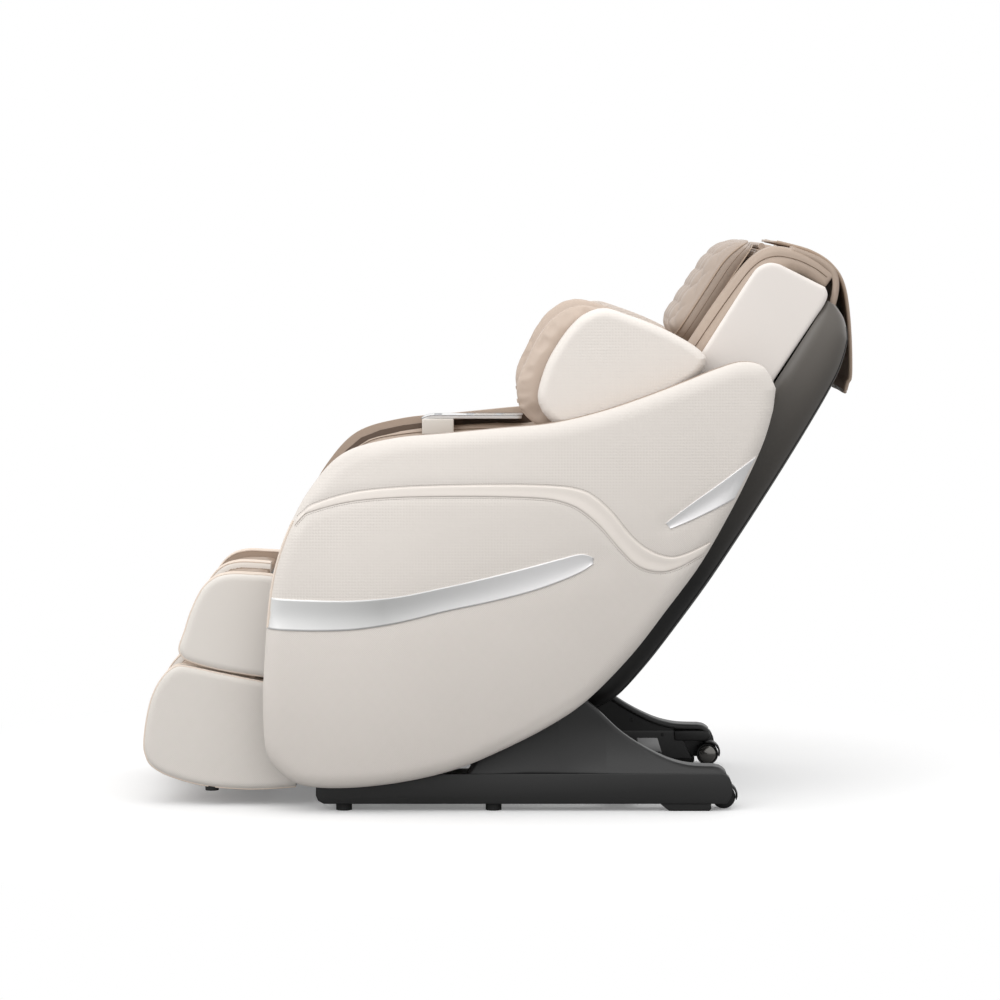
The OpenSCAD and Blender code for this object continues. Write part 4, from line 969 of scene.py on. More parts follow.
# ---------------------------------------------------------------- shoulder bolsters
# On each side an airbag pad in tan leather grips the upper arm, and a cream shell
# with an embossed cover closes it from outside. Both hang on one steel arm.
SHELL_TOP = [(72, 764), (71, 787), (86, 836), (108, 876), (131, 907), (157, 930), (194, 941),
             (240, 928), (288, 910), (330, 890), (366, 868), (384, 850)]
SHELL_LOW = [(79, 748), (99, 728), (130, 716), (165, 712), (200, 716), (235, 728), (265, 745),
             (295, 765), (325, 785), (350, 802), (370, 818), (381, 834)]
PAD_FRONT = [(130, 706), (100, 708), (72, 716), (50, 732), (37, 752), (31, 785), (35, 812),
             (46, 838), (63, 875), (84, 909), (114, 936), (148, 948), (196, 941), (250, 921)]
SHOULDER_INNER, SHOULDER_OUTER, SHOULDER_ROLL = 271.6, 318.0, 17.0
shoulder_leather = leather("shoulder_cream_embossed", (240, 233, 226), emboss=(0.42, -9.0))
# Painted light: the pads' tan is a lighter copy of the tan leather, for their lit side.
pad_leather_painted_light = leather("shoulder_tan_leather", (204, 186, 171), roughness=0.44,
                      pebble_scale=700.0, grain=0.09)
flat, crown = crowned_grid(SHELL_TOP, SHELL_LOW, 110, 64, SHOULDER_ROLL)
pad = stuffed("right_shoulder_pad", "shoulder_pads", side=1, voxel=5.0, shrink=2.5, cap=5.0)
pad_seam = from_side(pad, even(smooth_line(PAD_FRONT), 130), 1)
pressed(pad, pad_seam, 5.0, 0.8)
for roll, side, name in both_sides(pad, "shoulder_pad"):
    finish_piece(roll, pad_leather_painted_light, "tan_leather", "chair", "shoulder_pads")
    path = pad_seam * np.array([1.0, side, 1.0])
    tube(f"{name}_shoulder_piping", path, 1.5, pad_leather_painted_light, "chair")
    outer = at_side(flat, side * (SHOULDER_OUTER - SHOULDER_ROLL * (1 - crown)))
    cover = outward(slab(f"{name}_shoulder_shell", outer, at_side(flat, side * SHOULDER_INNER)))
    finish_piece(cover, shoulder_leather, "cream_leather", "chair", "shoulder_shells")


# ---------------------------------------------------------------- head cover
# A sheet of tan leather laid over the top of the back. It runs from under the head
# pillow to a flap that hangs free behind the shell, with a sewn hem and two edge rows.
COVER_LINE = [(-199, 936), (-182, 943), (-128, 959), (-80, 958), (-38, 936), (14, 876),
              (64, 806), (70, 786), (76, 768)]
COVER_HALF, COVER_THICK, COVER_EDGE = 160.0, 4.2, 3.6
HEM_SHARE = 0.915
cover_leather = leather("cover_tan_leather", (188, 169, 152), roughness=0.46, pebble_scale=700.0,
                        grain=0.1)
lining_cloth = leather("cover_lining_brown", (186, 160, 140), roughness=0.75, pebble_scale=1500.0,
                       grain=0.12, coat=0.0)
cover_curve = even(smooth_line(COVER_LINE, 12), 130)
cover_out = beside(cover_curve)
cover_side = np.linspace(-1, 1, 61)
share = np.linspace(0, 1, len(cover_curve))


def cover_point(i, side, lift):
    """A place on the head cover, which waves along its free flap and is drawn in at its rows."""
    free = np.clip((share[i] - 0.62) / 0.3, 0, 1)
    wave = free * (1.5 * math.cos(side * 5.2 + 0.6) - 1.5)
    hem = -0.9 * math.exp(-((share[i] - HEM_SHARE) / 0.006) ** 2)
    edge = -0.8 * math.exp(-((abs(side) - 0.945) / 0.012) ** 2)
    at = cover_curve[i] + cover_out[i] * (lift + wave + (hem + edge if lift == 0 else 0.0))
    return on_back(at[0], side * COVER_HALF * (1.0 - 0.02 * free * share[i]), at[1])


outer = np.array([[cover_point(i, s, 0.0) for s in cover_side] for i in range(len(cover_curve))])
under = np.array([[cover_point(i, s, -COVER_THICK) for s in cover_side]
                  for i in range(len(cover_curve))])
cover = outward(slab("head_cover_sheet", outer, under))
finish_piece(cover, cover_leather, "tan_leather", "chair", "head_cover")
cover.data.materials.append(lining_cloth)
for face in cover.data.polygons:
    if all(v >= outer.shape[0] * outer.shape[1] for v in face.vertices):
        face.material_index = 1
for side, name in SIDES:
    for row, inset, radius, lift, cloth in (
            ("edge_roll", 0.985, COVER_EDGE, -COVER_THICK / 2, tan_piping),
            ("edge_thread", 0.945, 0.6, -0.7, tan_seam)):
        path = np.array([cover_point(i, side * inset, lift)
                         for i in range(2, len(cover_curve) - 2)])
        tube(f"{name}_cover_{row}", path, radius, cloth,
                                 "chair")
hem_row = int(HEM_SHARE * (len(cover_curve) - 1))
path = np.array([cover_point(hem_row, s, -0.6) for s in np.linspace(-0.95, 0.95, 60)])
tube("cover_hem_thread", path, 0.6, tan_seam, "chair")
path = np.array([cover_point(len(cover_curve) - 2, s, -COVER_THICK / 2)
                 for s in np.linspace(-0.97, 0.97, 60)])
tube("cover_hem_roll", path, COVER_EDGE, tan_piping, "chair")


# ---------------------------------------------------------------- head pillow
# A tufted front block and a thinner backing block in tan leather, joined by a
# leather hinge roll at their top. Two pipings with a seam between them run round
# the sides of each block.
PILLOW_UP, PILLOW_HALF = (683.0, 910.0), 168.0
PILLOW_BLOCKS = (("front", -226.0, -286.5, 1.0), ("backing", -201.0, -224.0, 0.95))
TUFT_COLS, TUFT_ROWS, TUFT_DEPTH = 5, 3, 12.0
PILLOW_ROWS, PILLOW_COLS, PILLOW_ROLL, RING_COUNT = 91, 131, 30.0, 160
# Share of a block's depth, radius and cloth of the cords round its sides
PILLOW_CORDS = ((0.54, 1.9, tan_piping), (0.30, 0.6, tan_seam), (0.04, 1.5, tan_piping))
tuft_leather = leather("tuft_tan_leather", (178, 162, 149), roughness=0.4, pebble_scale=620.0,
                       grain=0.12, coat=0.1)


def rounded(a, b, power=7.0):
    """Moves a place in a square towards a square with round corners."""
    reach = max(abs(a), abs(b))
    if reach < 1e-6:
        return a, b
    bend = 1.0 / (abs(a / reach) ** power + abs(b / reach) ** power) ** (1.0 / power)
    keep = 1.0 + (bend - 1.0) * reach ** 4
    return a * keep, b * keep


def top_ease(up_share):
    """How far the front block thins towards its top, from 0 to 1."""
    return min(1.0, max(0.0, up_share - 0.35) / 0.65) ** 2


def pillow_block(name, rear, front, size, tufted):
    """A closed cushion block with a rolled front edge, tufted in diamonds if asked."""
    depth = abs(front - rear)
    middle, tall = sum(PILLOW_UP) / 2, (PILLOW_UP[1] - PILLOW_UP[0]) / 2 * size
    faces_front, faces_rear = [], []
    for b in np.linspace(-1, 1, PILLOW_ROWS):
        front_row, rear_row = [], []
        for a in np.linspace(-1, 1, PILLOW_COLS):
            across_share, up_share = rounded(a, b)
            y, up = across_share * PILLOW_HALF * size, middle + up_share * tall
            inside = min((1 - max(abs(a), abs(b))) * tall / PILLOW_ROLL, 1.0)
            crown = math.sqrt(max(0.0, 1 - (1 - inside) ** 2))
            ease = top_ease(up_share) * tufted
            full = (0.52 - 0.34 * ease + (0.36 - 0.10 * ease) * crown
                    + 0.10 * max(0.0, -up_share) * crown * tufted
                    + 0.12 * (1 - up_share ** 2) * (1 - across_share ** 4))
            dip = 0.0
            if tufted:
                p, q = across_share * TUFT_COLS / 2, up_share * TUFT_ROWS / 2
                crease = abs(math.sin(math.pi * (p + q)) * math.sin(math.pi * (p - q)))
                dip = TUFT_DEPTH * (1 - min(1.0, crease * 1.15) ** 0.42) * min(1.0, inside * 1.1)
            front_row.append(on_back(rear - depth * full + dip, y, up))
            rear_row.append(on_back(rear - depth * 0.06 * (1 - crown), y, up))
        faces_front.append(front_row)
        faces_rear.append(rear_row)
    return outward(slab(name, np.array(faces_front), np.array(faces_rear)))


def pillow_ring(rear, depth, size, thins):
    """A line round the pillow's sides, some way forward of a block's rear."""
    middle, tall = sum(PILLOW_UP) / 2, (PILLOW_UP[1] - PILLOW_UP[0]) / 2 * size
    ring = []
    for t in np.linspace(0, 2 * math.pi, RING_COUNT, endpoint=False):
        a, b = math.cos(t), math.sin(t)
        reach = max(abs(a), abs(b))
        a, b = rounded(a / reach, b / reach)
        at = rear - depth * (1.0 - 0.66 * thins * top_ease(b))
        ring.append(on_back(at, a * PILLOW_HALF * size, middle + b * tall))
    return np.array(ring)


for name, rear, front, size in PILLOW_BLOCKS:
    tufted = name == "front"
    block = pillow_block(f"pillow_{name}_block", rear, front, size, tufted)
    finish_piece(block, tuft_leather if tufted else tan_leather, "tan_leather", "head_pillow",
                 *(["head_pillow"] if tufted else []))
    for k, (share_in, radius, cloth) in enumerate(PILLOW_CORDS):
        ring = pillow_ring(rear, abs(front - rear) * share_in, size, tufted)
        tube(f"pillow_{name}_piping_{k + 1}", ring, radius, cloth, "head_pillow",
             closed=True)

# The hinge: a leather roll round the pivot that joins the two blocks at the top
HINGE_AT, HINGE_HALF, HINGE_RADIUS = (-212.0, 915.0), 150.0, 6.5
tube("pillow_hinge_roll", np.array([on_back(HINGE_AT[0], s, HINGE_AT[1])
                                    for s in np.linspace(-HINGE_HALF, HINGE_HALF, 24)]),
     HINGE_RADIUS, tan_leather, "head_pillow")


# ---------------------------------------------------------------- leg rest
# Two wells for the calves between three upholstered walls. The walls are cream
# leather over thin padding with peach piping along the front; the wells are ribbed.
LEG_EDGE = [(-412, 434), (-440, 438), (-470, 440), (-507, 441), (-537, 433), (-561, 411),
            (-581, 371), (-594, 332), (-604, 303), (-601, 288), (-585, 276), (-528, 260),
            (-449, 247), (-412, 243)]
LEG_REAR = ((-412, 434), (-412, 243))
LEG_HALF, LEG_WALL, DIVIDER_HALF = 254.0, 32.0, 18.0
WALL_ROLL, WALL_CROWN, WALL_PIPING = 13.0, 7.0, 2.1
DIVIDER_REAR, DIVIDER_CROWN = -446.5, 4.0
RIB_PITCH = 13.0
leg_piping = leather("leg_piping_peach", PEACH, roughness=0.4, tone=0.02)
well_leather = leather("well_tan_leather", (176, 156, 139), roughness=0.5, pebble_scale=700.0,
                       grain=0.1)
leg_leather = leather("leg_cream_leather", (237, 231, 224), roughness=0.5, pebble_scale=1100.0)


def wall_slab(name, edge, rear, face, inner, crown, lined_outside=False):
    """An upholstered wall with a rolled edge, and which of its points face a tan well."""
    front = even(smooth_line(edge), 120)
    back = even(np.array(rear, float), 120)
    flat = between(front, back, crowded(44))
    roll = rolled(distance_to(front, flat) / WALL_ROLL)
    way = 1.0 if face > inner else -1.0
    outer = at_side(flat, face + way * crown * (roll - 1))
    toward_well = roll > 0.98 if lined_outside else np.zeros(roll.shape, bool)
    lined = np.concatenate([toward_well.ravel(), np.full(roll.size, not lined_outside)])
    return outward(slab(name, outer, at_side(flat, inner))), lined


def well_side(piece, lined):
    """Covers the faces of a wall that look into a well with the wells' leather."""
    piece.data.materials.append(well_leather)
    for polygon in piece.data.polygons:
        polygon.material_index = int(all(lined[v] for v in polygon.vertices))


def walls(names, edge, rear, material, body, solid):
    """The three walls of the leg rest or the foot unit, with their piping."""
    inner_y = LEG_HALF - LEG_WALL
    for side, name in SIDES:
        wall, lined = wall_slab(f"{name}_{names}_wall", edge, rear, side * LEG_HALF,
                                side * inner_y, WALL_CROWN)
        finish_piece(wall, material, "cream_leather", body, solid)
        well_side(wall, lined)
        for at, row in ((LEG_HALF - WALL_CROWN + 0.5, "outer"), (inner_y + 1.0, "inner")):
            path = at_side(even(smooth_line(edge), 150), side * at)
            tube(f"{name}_{names}_piping_{row}", path, WALL_PIPING, leg_piping,
                 body)
    # The divider is two halves sewn together over one core
    rear_line = ((DIVIDER_REAR, edge[1][1]), (DIVIDER_REAR, edge[-1][1] + 3))
    front = [rear_line[0], *((x, z) for x, z in edge if x <= DIVIDER_REAR - 3), rear_line[1]]
    for side, name in SIDES:
        half, lined = wall_slab(f"{name}_{names}_divider", front, rear_line, side * DIVIDER_HALF,
                                0.0, DIVIDER_CROWN, lined_outside=True)
        finish_piece(half, material, "cream_leather", body)
        well_side(half, lined)
        path = at_side(even(smooth_line(front), 120), side * (DIVIDER_HALF - 3.5))
        tube(f"{name}_{names}_divider_piping", path, WALL_PIPING, leg_piping, body)


walls("leg", LEG_EDGE, LEG_REAR, leg_leather, "leg_rest", "leg_walls")


def ribbed(piece, pitch, depth, lo, hi):
    """Raises fine upright ribs on the faces of a well, inside a box."""
    points, out = places(piece.data), directions(piece.data)
    inside = np.all((points > np.array(lo) * MM) & (points < np.array(hi) * MM), axis=1)
    along_well = points[:, 0] + points[:, 1]
    level = np.abs(np.sin(along_well / (pitch * MM) * np.pi)) ** 0.6
    points += out * (depth * MM * (level - 0.6) * inside)[:, None]
    set_places(piece.data, points)


def wells(part, body, voxel, depth, lo, hi):
    """The two soft wells of the leg rest or the foot unit."""
    right = stuffed(f"right_{part}_wells", f"{part}_linings", side=1, voxel=voxel, rounds=4,
                    shrink=2.0, cap=3.5, pressure=3.0)
    ribbed(right, RIB_PITCH, depth, lo, hi)
    for well, _, _ in both_sides(right, f"{part}_wells"):
        finish_piece(well, well_leather, "tan_leather", body, f"{part}_linings")


wells("leg", "leg_rest", 4.0, 1.6, (-600, 40, 240), (-440, 200, 436))


# ---------------------------------------------------------------- foot unit
# The lower half of the leg rest, which slides out. Twill-embossed cream leather on
# its outer walls, two soft wells for the feet, and a peach cord round its edges.
FOOT_EDGE = [(-412, 229), (-430, 233), (-450, 236), (-529, 252), (-585, 264), (-607, 266),
             (-624, 257), (-642, 236), (-657, 205), (-667, 163), (-672, 121), (-669, 97),
             (-657, 76), (-623, 57), (-563, 40), (-495, 33), (-440, 33), (-386, 37)]
FOOT_REAR = ((-412, 229), (-412, 170), (-386, 110), (-386, 37))
foot_leather = leather("foot_cream_twill", (235, 229, 222), roughness=0.5, emboss=(0.4, 9.0))
walls("foot", FOOT_EDGE, FOOT_REAR, foot_leather, "foot_unit", "foot_walls")
wells("foot", "foot_unit", 4.5, 1.4, (-640, 40, 96), (-468, 200, 262))


# ---------------------------------------------------------------- control panel
# A thin white glossy plate on the right arm with three round buttons. A plated rim
# holds it, and a cream bracket fixes it to the arm's inner face.


def eased(name, solid, width, segments=2):
    """A solid's form with its hard edges rounded over."""
    piece = solid_form(name, solid)
    reworked(piece.data, welded, lambda work: bmesh.ops.dissolve_limit(
        work, angle_limit=math.radians(1.0), verts=work.verts, edges=work.edges))
    return rounded_over(piece, width, segments)


def rounded_over(piece, width, segments=2):
    """Bevels a piece's hard edges and shades it smooth between them."""
    bevel = piece.modifiers.new("round", "BEVEL")
    bevel.width, bevel.segments = width * MM, segments
    bevel.limit_method, bevel.angle_limit = "ANGLE", math.radians(35)
    bevel.use_clamp_overlap = True
    applied(piece)
    smooth_faces(piece.data)
    piece.data.set_sharp_from_angle(angle=math.radians(42))
    return piece


def paint(name, colour, roughness, metallic=0.0, coat=0.0, change=0.05, wear=0.1):
    """Paint, plating or plastic with a slow change of shade and fine scuffs in its gloss."""
    material, tree, shader = new_material(name)
    place = object_place(tree)
    shade, fine = noise(tree, place, 4.0), noise(tree, place, 30.0, Detail=6.0)
    low = tuple(c * (1 - change) for c in colour)
    gloss = moved_range(tree, fine, (max(0.02, roughness - wear), roughness + wear), (0.3, 0.7))
    feed(shader, {"Base Color": colours_along(tree, shade, ((0.0, low), (1.0, colour))),
                  "Roughness": gloss, "Normal": bumped(tree, fine, 0.06, 0.0002),
                  "Metallic": metallic, "Coat Weight": coat, "Coat Roughness": 0.08})
    return material


white_gloss = paint("white_gloss", (236, 236, 235), 0.2, coat=0.5, change=0.02, wear=0.05)
rim_silver = paint("control_rim_silver", (196, 197, 200), 0.28, metallic=0.8, change=0.04)
button_grey = paint("button_satin_grey", (168, 169, 172), 0.38, metallic=0.3)
bracket_cream = paint("bracket_cream_plastic", (232, 226, 218), 0.4, change=0.03)
NOSE_START, NOSE_LENGTH, NOSE_DROP = -134.0, 24.0, 7.5
PLATE_RIM = ((-158.0, 45.0), (254.4, 318.2), 12.0)
PLATE_LOW, PLATE_TOP, RIM_HEIGHT, RIM_RADIUS = 704.6, 712.0, 711.4, 0.9
finish_piece(eased("control_arm_bracket", "control_bracket", 3.0, segments=3), bracket_cream,
             "cream_plastic", "chair", "control_bracket")


def nosed(points):
    """Bends the front end of the plate down over the arm."""
    past = np.clip((NOSE_START - points[:, 0]) / NOSE_LENGTH, 0, 1)
    points[:, 2] -= NOSE_DROP * past ** 2
    return points


(x0, x1), (y0, y1), corner = PLATE_RIM
outline = [(cx + corner * math.cos(a), cy + corner * math.sin(a))
           for k, (cx, cy) in enumerate(((x1 - corner, y1 - corner), (x0 + corner, y1 - corner),
                                         (x0 + corner, y0 + corner), (x1 - corner, y0 + corner)))
           for a in np.linspace(k, k + 1, 12) * math.pi / 2]
outline = even(np.array(outline + outline[:1]), 260)
middle = np.array([(x0 + x1) / 2, (y0 + y1) / 2])
count = len(outline) - 1
away = outline[:-1] - middle
size = np.linalg.norm(away, axis=1, keepdims=True)
# Rings from the middle of the underside round the edge to the middle of the top
rings = [np.column_stack([middle + away * (1 + grow / size) * share, np.full(count, level)])
         for level, grow, share in (
             *((PLATE_LOW, -3.0, s) for s in (0.02, 0.4, 0.8, 1.0)), (704.2, -1.2, 1.0),
             (705.4, -0.4, 1.0), (710.4, -0.4, 1.0), (711.7, -1.0, 1.0),
             *((PLATE_TOP, -4.0, s) for s in (1.0, 0.85, 0.6, 0.3, 0.02)))]
faces = [(i * count + j, i * count + (j + 1) % count, (i + 1) * count + (j + 1) % count,
          (i + 1) * count + j) for i in range(len(rings) - 1) for j in range(count)]
faces += [tuple(range(count - 1, -1, -1)),
          tuple(range((len(rings) - 1) * count, len(rings) * count))]
control = outward(add_mesh("control_plate", nosed(np.vstack(rings)), faces))
finish_piece(control, white_gloss, "white_gloss", "chair", "control_panel")
rim_path = nosed(np.column_stack([outline[:-1], np.full(count, RIM_HEIGHT)]))
rim = tube("control_plate_rim", rim_path, RIM_RADIUS, rim_silver, "chair",
           closed=True)
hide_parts("control_rim")
for button in ("power_button", "recline_button", "massage_button"):
    finish_piece(eased(f"{button}_cap", button, 0.7, segments=3), button_grey, "button_grey",
                 button, button)


# ---------------------------------------------------------------- base skids
# A long low moulded skid on each side: a straight band below, and above it a hollow
# flank that sweeps up to the pivot. The wheel sits in a pocket at its rear.
SKID_OUT, SKID_IN, SKID_POCKET = 314.0, 256.0, 284.0
BAND_TOP = 71.0
BAND = [(-330, 14), (-341, 20), (-345, 30), (-345, 62), (-342, 69), (-336, 71), (416, 71),
        (424, 69), (430, 63), (434, 54), (436, 44), (435, 34), (431, 23), (424, 14)]
INNER_BAND = [(-330, 14), (-341, 20), (-345, 30), (-345, 62), (-342, 69), (-336, 71),
              (362, 71), (364, 66), (388, 14)]
DECK_END = [(354, 50), (416, 50), (424, 54), (428, 60), (424, 69), (416, 71), (352, 71)]
FOOT_BLOCK = [(300, 14), (312, 4), (318, 0), (392, 0), (396, 4), (396, 14)]
EAR_REAR = [(104, 236), (165, 203), (232, 142), (300, 102), (350, 86), (402, 83)]
EAR_PIVOT, EAR_RADIUS = (70.0, 225.0), 36.0
EAR_EDGE, EAR_RIM_DEPTH = 7.0, 9.0
EAR_FRONT, SWEEP_HEIGHT, POCKET_FRONT = -60.0, 95.0, 352.0
RECESS, POCKET_RECESS = 4.0, 14.0
SCREWS, SCREW_RADIUS = ((268, 92), (330, 62)), 3.6
FLANK_HOLLOW = (14.0, 34.0)
base_black = moulded("base_black", (28, 28, 28), (34, 34, 34), 0.42)
base_dark = moulded("base_underside", (22, 22, 22), (28, 28, 28), 0.6)


def plate(name, outline, near, far, edge, segments=3):
    """A flat piece with rounded edges, from its side-view outline and two distances."""
    count = len(outline)
    points = [(x, near, z) for x, z in outline] + [(x, far, z) for x, z in outline]
    faces = [tuple(range(count)), tuple(range(2 * count - 1, count - 1, -1))]
    faces += [(k, (k + 1) % count, (k + 1) % count + count, k + count) for k in range(count)]
    return rounded_over(outward(add_mesh(name, points, faces)), edge, segments)


ear_curve = smooth_line(EAR_REAR, 16)
circle = [(EAR_PIVOT[0] + EAR_RADIUS * math.sin(t), EAR_PIVOT[1] + EAR_RADIUS * math.cos(t))
          for t in np.linspace(-math.pi / 2, 0.95, 16)]
ear_top = np.vstack([[(EAR_FRONT, BAND_TOP + 1)], circle, ear_curve,
                     [(412, 81), (419, 77), (424, 72)]])
EAR_COLS, EAR_ROWS = 260, 46
ear_line = even(ear_top, EAR_COLS)
rise = 1 - (1 - np.linspace(0, 1, EAR_ROWS)) ** 1.6
foot_x = np.maximum.accumulate(np.maximum(ear_line[:, 0], EAR_FRONT))
ear = np.stack([
    foot_x[:, None] + (ear_line[:, 0] - foot_x)[:, None] * rise[None, :],
    (BAND_TOP - 2) + (ear_line[:, 1] - BAND_TOP + 2)[:, None] * rise[None, :]], axis=-1)
to_top = distance_to(ear_line, ear)
over = np.clip((ear[..., 1] - BAND_TOP) / SWEEP_HEIGHT, 0, 1)
edge_round = rolled(to_top / EAR_EDGE)
hollow = np.interp(ear[..., 0], (110.0, 200.0), FLANK_HOLLOW)
flank = SKID_OUT - 2.5 - hollow * (1 - (1 - over) ** 2.2) - 5.0 * (1 - edge_round)
behind = np.where(ear[..., 0] > POCKET_FRONT + (ear[..., 1] - BAND_TOP) * 0.1, 1.0, 0.0)
recess = np.clip((to_top - EAR_RIM_DEPTH) / 2.0, 0, 1)
inner_ear = SKID_IN + 5.0 * (1 - edge_round) + recess * (RECESS + POCKET_RECESS * behind)
for side, name in SIDES:
    flank_piece = outward(slab(f"{name}_skid_flank", at_side(ear, side * flank),
                               at_side(ear, side * inner_ear)))
    finish_piece(flank_piece, base_black, "base_plastic", "base", f"{name}_base_skid")
    for label, outline, near, far, edge, cloth in (
            ("band", BAND, SKID_POCKET, SKID_OUT, 1.6, base_black),
            ("inner_band", INNER_BAND, SKID_IN + 3, SKID_POCKET + 2, 1.2, base_black),
            ("deck_end", DECK_END, SKID_IN, SKID_POCKET + 2, 3.0, base_black),
            ("foot_block", FOOT_BLOCK, SKID_POCKET + 2, SKID_OUT - 4, 1.0, base_dark)):
        finish_piece(plate(f"{name}_skid_{label}", outline, side * near, side * far, edge),
                     cloth, "base_plastic", "base")
    # Raised line along the flank's swept edge
    line = even(ear_curve, 90)
    path = at_side(line - np.array([1.5, 2.0]),
                   side * (np.interp(line[:, 0], ear_line[:, 0], flank[:, -1]) + 0.2))
    tube(f"{name}_skid_edge_line", path, 0.9, base_black, "base")
    # Two screws in the recessed inner face
    for k, (x, z) in enumerate(SCREWS):
        screw = [(x + SCREW_RADIUS * math.cos(t), z + SCREW_RADIUS * math.sin(t))
                 for t in np.linspace(0, 2 * math.pi, 16, endpoint=False)]
        finish_piece(plate(f"{name}_skid_screw_{k + 1}", screw, side * (SKID_IN + 1.8),
                           side * (SKID_IN + 6), 0.8), base_dark, "black_plastic", "base")


# ---------------------------------------------------------------- wheels
# One small transport wheel in each skid's rear pocket: a rubber tyre on a moulded hub
# with a polished dome. A thin pointed hood, part of the skid, covers its rear.
WHEEL_AT, WHEEL_NEAR = (421.0, 22.0), 259.0
HUB_RADIUS, HUB_DOME = 18.4, 8.0
HOOD_RADIUS, HOOD_INSIDE, HOOD_THICK, HOOD_ARC = 23.9, 23.4, 4.2, (100, -12)
TURNS = 64


def turned(name, profile, at, side):
    """A piece turned round a line across the chair, from (radius, distance) points."""
    points, faces, count = [], [], len(profile)
    for k in range(TURNS):
        t = 2 * math.pi * k / TURNS
        points += [(at[0] + r * math.cos(t), side * y, at[1] + r * math.sin(t))
                   for r, y in profile]
    for k in range(TURNS):
        a, b = k * count, ((k + 1) % TURNS) * count
        faces += [(a + j, b + j, b + j + 1, a + j + 1) for j in range(count - 1)]
    piece = add_mesh(name, points, faces)
    reworked(piece.data, welded, faced_out)
    smooth_faces(piece.data)
    piece.data.set_sharp_from_angle(angle=math.radians(50))
    return piece


tyre_rubber = moulded("tyre_rubber", (20, 20, 20), (28, 28, 28), 0.6, stipple=0.3)
hub_gloss = paint("wheel_hub_gloss", (112, 110, 106), 0.2, metallic=0.8, coat=0.8, change=0.05,
                  wear=0.04)
tyre = [(radius, WHEEL_NEAR + in_from_near) for radius, in_from_near in (
    (18.8, 2.0), (19.2, -0.4), (20.6, -0.6), (21.6, 0.6), (22.0, 2.4), (22.0, 19.6),
    (21.4, 21.4), (20.0, 22.0), (5.4, 22.0), (5.4, 4.0), (18.8, 4.0), (18.8, 2.0))]
dome = ([(0.0, WHEEL_NEAR - HUB_DOME)]
        + [(HUB_RADIUS * math.sin(t), WHEEL_NEAR + 1.5 - (HUB_DOME + 1.5) * math.cos(t))
           for t in np.linspace(0.08, math.pi / 2, 14)]
        + [(HUB_RADIUS, WHEEL_NEAR + 3.6), (0.0, WHEEL_NEAR + 3.6)])
for side, name in SIDES:
    finish_piece(turned(f"{name}_wheel_tyre", tyre, WHEEL_AT, side), tyre_rubber, "rubber_black",
                 f"{name}_wheel", f"{name}_wheel")
    finish_piece(turned(f"{name}_wheel_hub", dome, WHEEL_AT, side), hub_gloss, "black_plastic",
                 f"{name}_wheel")
    arc = np.linspace(*np.radians(HOOD_ARC), 40)
    thick = HOOD_THICK * np.sqrt(np.clip(np.linspace(1.0, 0.0, 40) * 2.2, 0.02, 1.0))
    sides = np.linspace(SKID_IN + 1, SKID_POCKET + 2, 12)
    round_in = 0.8 * (1 - np.sqrt(1 - np.clip(np.abs(np.linspace(-1, 1, 12)), 0, 1) ** 4))
    outer, under = (np.array([[(WHEEL_AT[0] + r * math.cos(a), side * y,
                                WHEEL_AT[1] + r * math.sin(a)) for y, r in zip(sides, row)]
                              for a, row in zip(arc, reach)])
                    for reach in (HOOD_RADIUS + thick[:, None] - round_in[None, :],
                                  np.full((len(arc), len(sides)), HOOD_INSIDE)))
    hood = outward(slab(f"{name}_wheel_hood", outer, under))
    finish_piece(hood, base_black, "base_plastic", "base")


# ---------------------------------------------------------------- frame and drives
# Everything that carries the padding: the base's crossbars, the steel side plates,
# the back's rails, the two electric drives, and the rollers and kneading arms.
frame_paint = paint("frame_black_paint", (40, 40, 42), 0.42, metallic=0.2)
steel_bright = paint("steel_bright", (190, 191, 194), 0.22, metallic=1.0, change=0.05)
housing_black = moulded("housing_black", (24, 24, 25), (31, 31, 32), 0.5)
pit_black = moulded("inlet_black", (14, 14, 14), (19, 19, 19), 0.45)
rubber_feet = moulded("foot_rubber", (17, 17, 17), (24, 24, 24), 0.7, stipple=0.3)
knead_rubber = moulded("kneading_rubber_brown", (120, 84, 68), (134, 96, 78), 0.55)
liner_brown = moulded("liner_brown", (96, 80, 68), (108, 91, 78), 0.6)


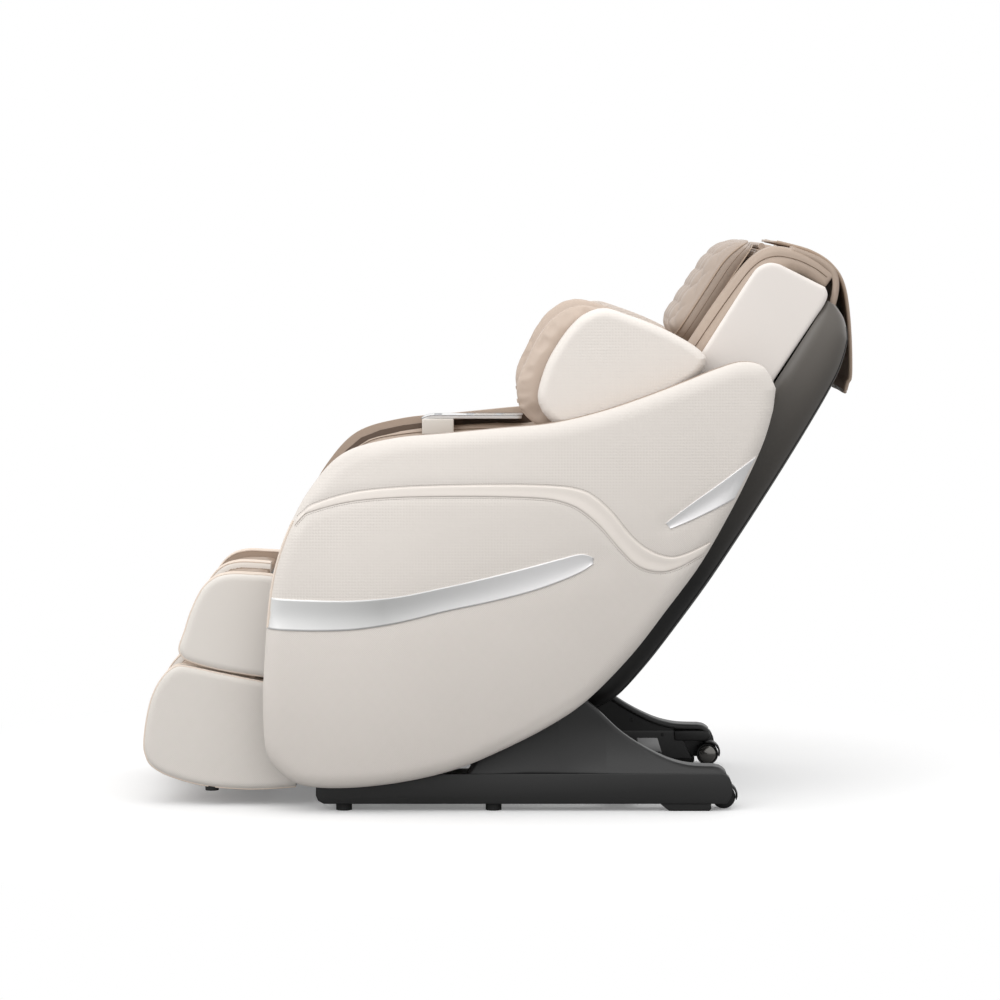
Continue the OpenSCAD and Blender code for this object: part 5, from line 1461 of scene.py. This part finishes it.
def plywood():
    """Birch board: long grain lines in two close browns."""
    material, tree, shader = new_material("plywood_birch")
    stretch = node(tree, "Mapping", {"Vector": object_place(tree), "Scale": (3.0, 40.0, 40.0)})
    lines = noise(tree, stretch.outputs["Vector"], 3.0, Detail=8.0, Distortion=0.6)
    feed(shader, {"Base Color": colours_along(tree, lines, ((0.0, (168, 134, 96)),
                                                           (1.0, (204, 174, 134)))),
                  "Roughness": 0.55})
    return material


board = plywood()
EASED = (("base_cross_frame", frame_paint, "frame_steel", "base", 1.5),
         ("power_box", pit_black, "black_plastic", "base", 2.0),
         ("power_inlet", pit_black, "black_plastic", "base", 0.5),
         ("recline_motor_bracket", frame_paint, "frame_steel", "base", 0.6),
         ("recline_actuator_tube", housing_black, "black_plastic", "recline_drive", 1.2),
         ("side_plates", frame_paint, "frame_steel", "chair", 0.8),
         ("back_uprights", frame_paint, "frame_steel", "chair", 1.0),
         ("shoulder_brackets", frame_paint, "frame_steel", "chair", 0.6),
         ("air_pump", housing_black, "black_plastic", "chair", 2.5),
         ("control_box", housing_black, "black_plastic", "chair", 2.0),
         ("leg_frame", frame_paint, "frame_steel", "leg_rest", 0.6),
         ("foot_frame", frame_paint, "frame_steel", "foot_unit", 0.6))
for solid, material, slot, body, width in EASED:
    finish_piece(eased(f"{solid}_finished", solid, width), material, slot, body, solid)
KEPT = {"base_feet": rubber_feet, "pivot_pins": steel_bright, "wheel_axles": steel_bright,
        "power_rocker": pit_black, "recline_actuator_rod": steel_bright,
        "frame_cross_tubes": frame_paint, "arm_brackets": frame_paint, "seat_board": board,
        "side_liners": liner_brown, "guide_tracks": steel_bright, "lead_screw": steel_bright,
        "massage_carriage": housing_black, "left_massage_arm": knead_rubber,
        "right_massage_arm": knead_rubber, "knee_pins": steel_bright,
        "leg_actuator_tube": housing_black, "leg_actuator_rod": steel_bright,
        "foot_rollers": knead_rubber, "foot_glides": rubber_feet}
for solid, material in KEPT.items():
    for slot in NODES[solid].material_slots:
        slot.material = material
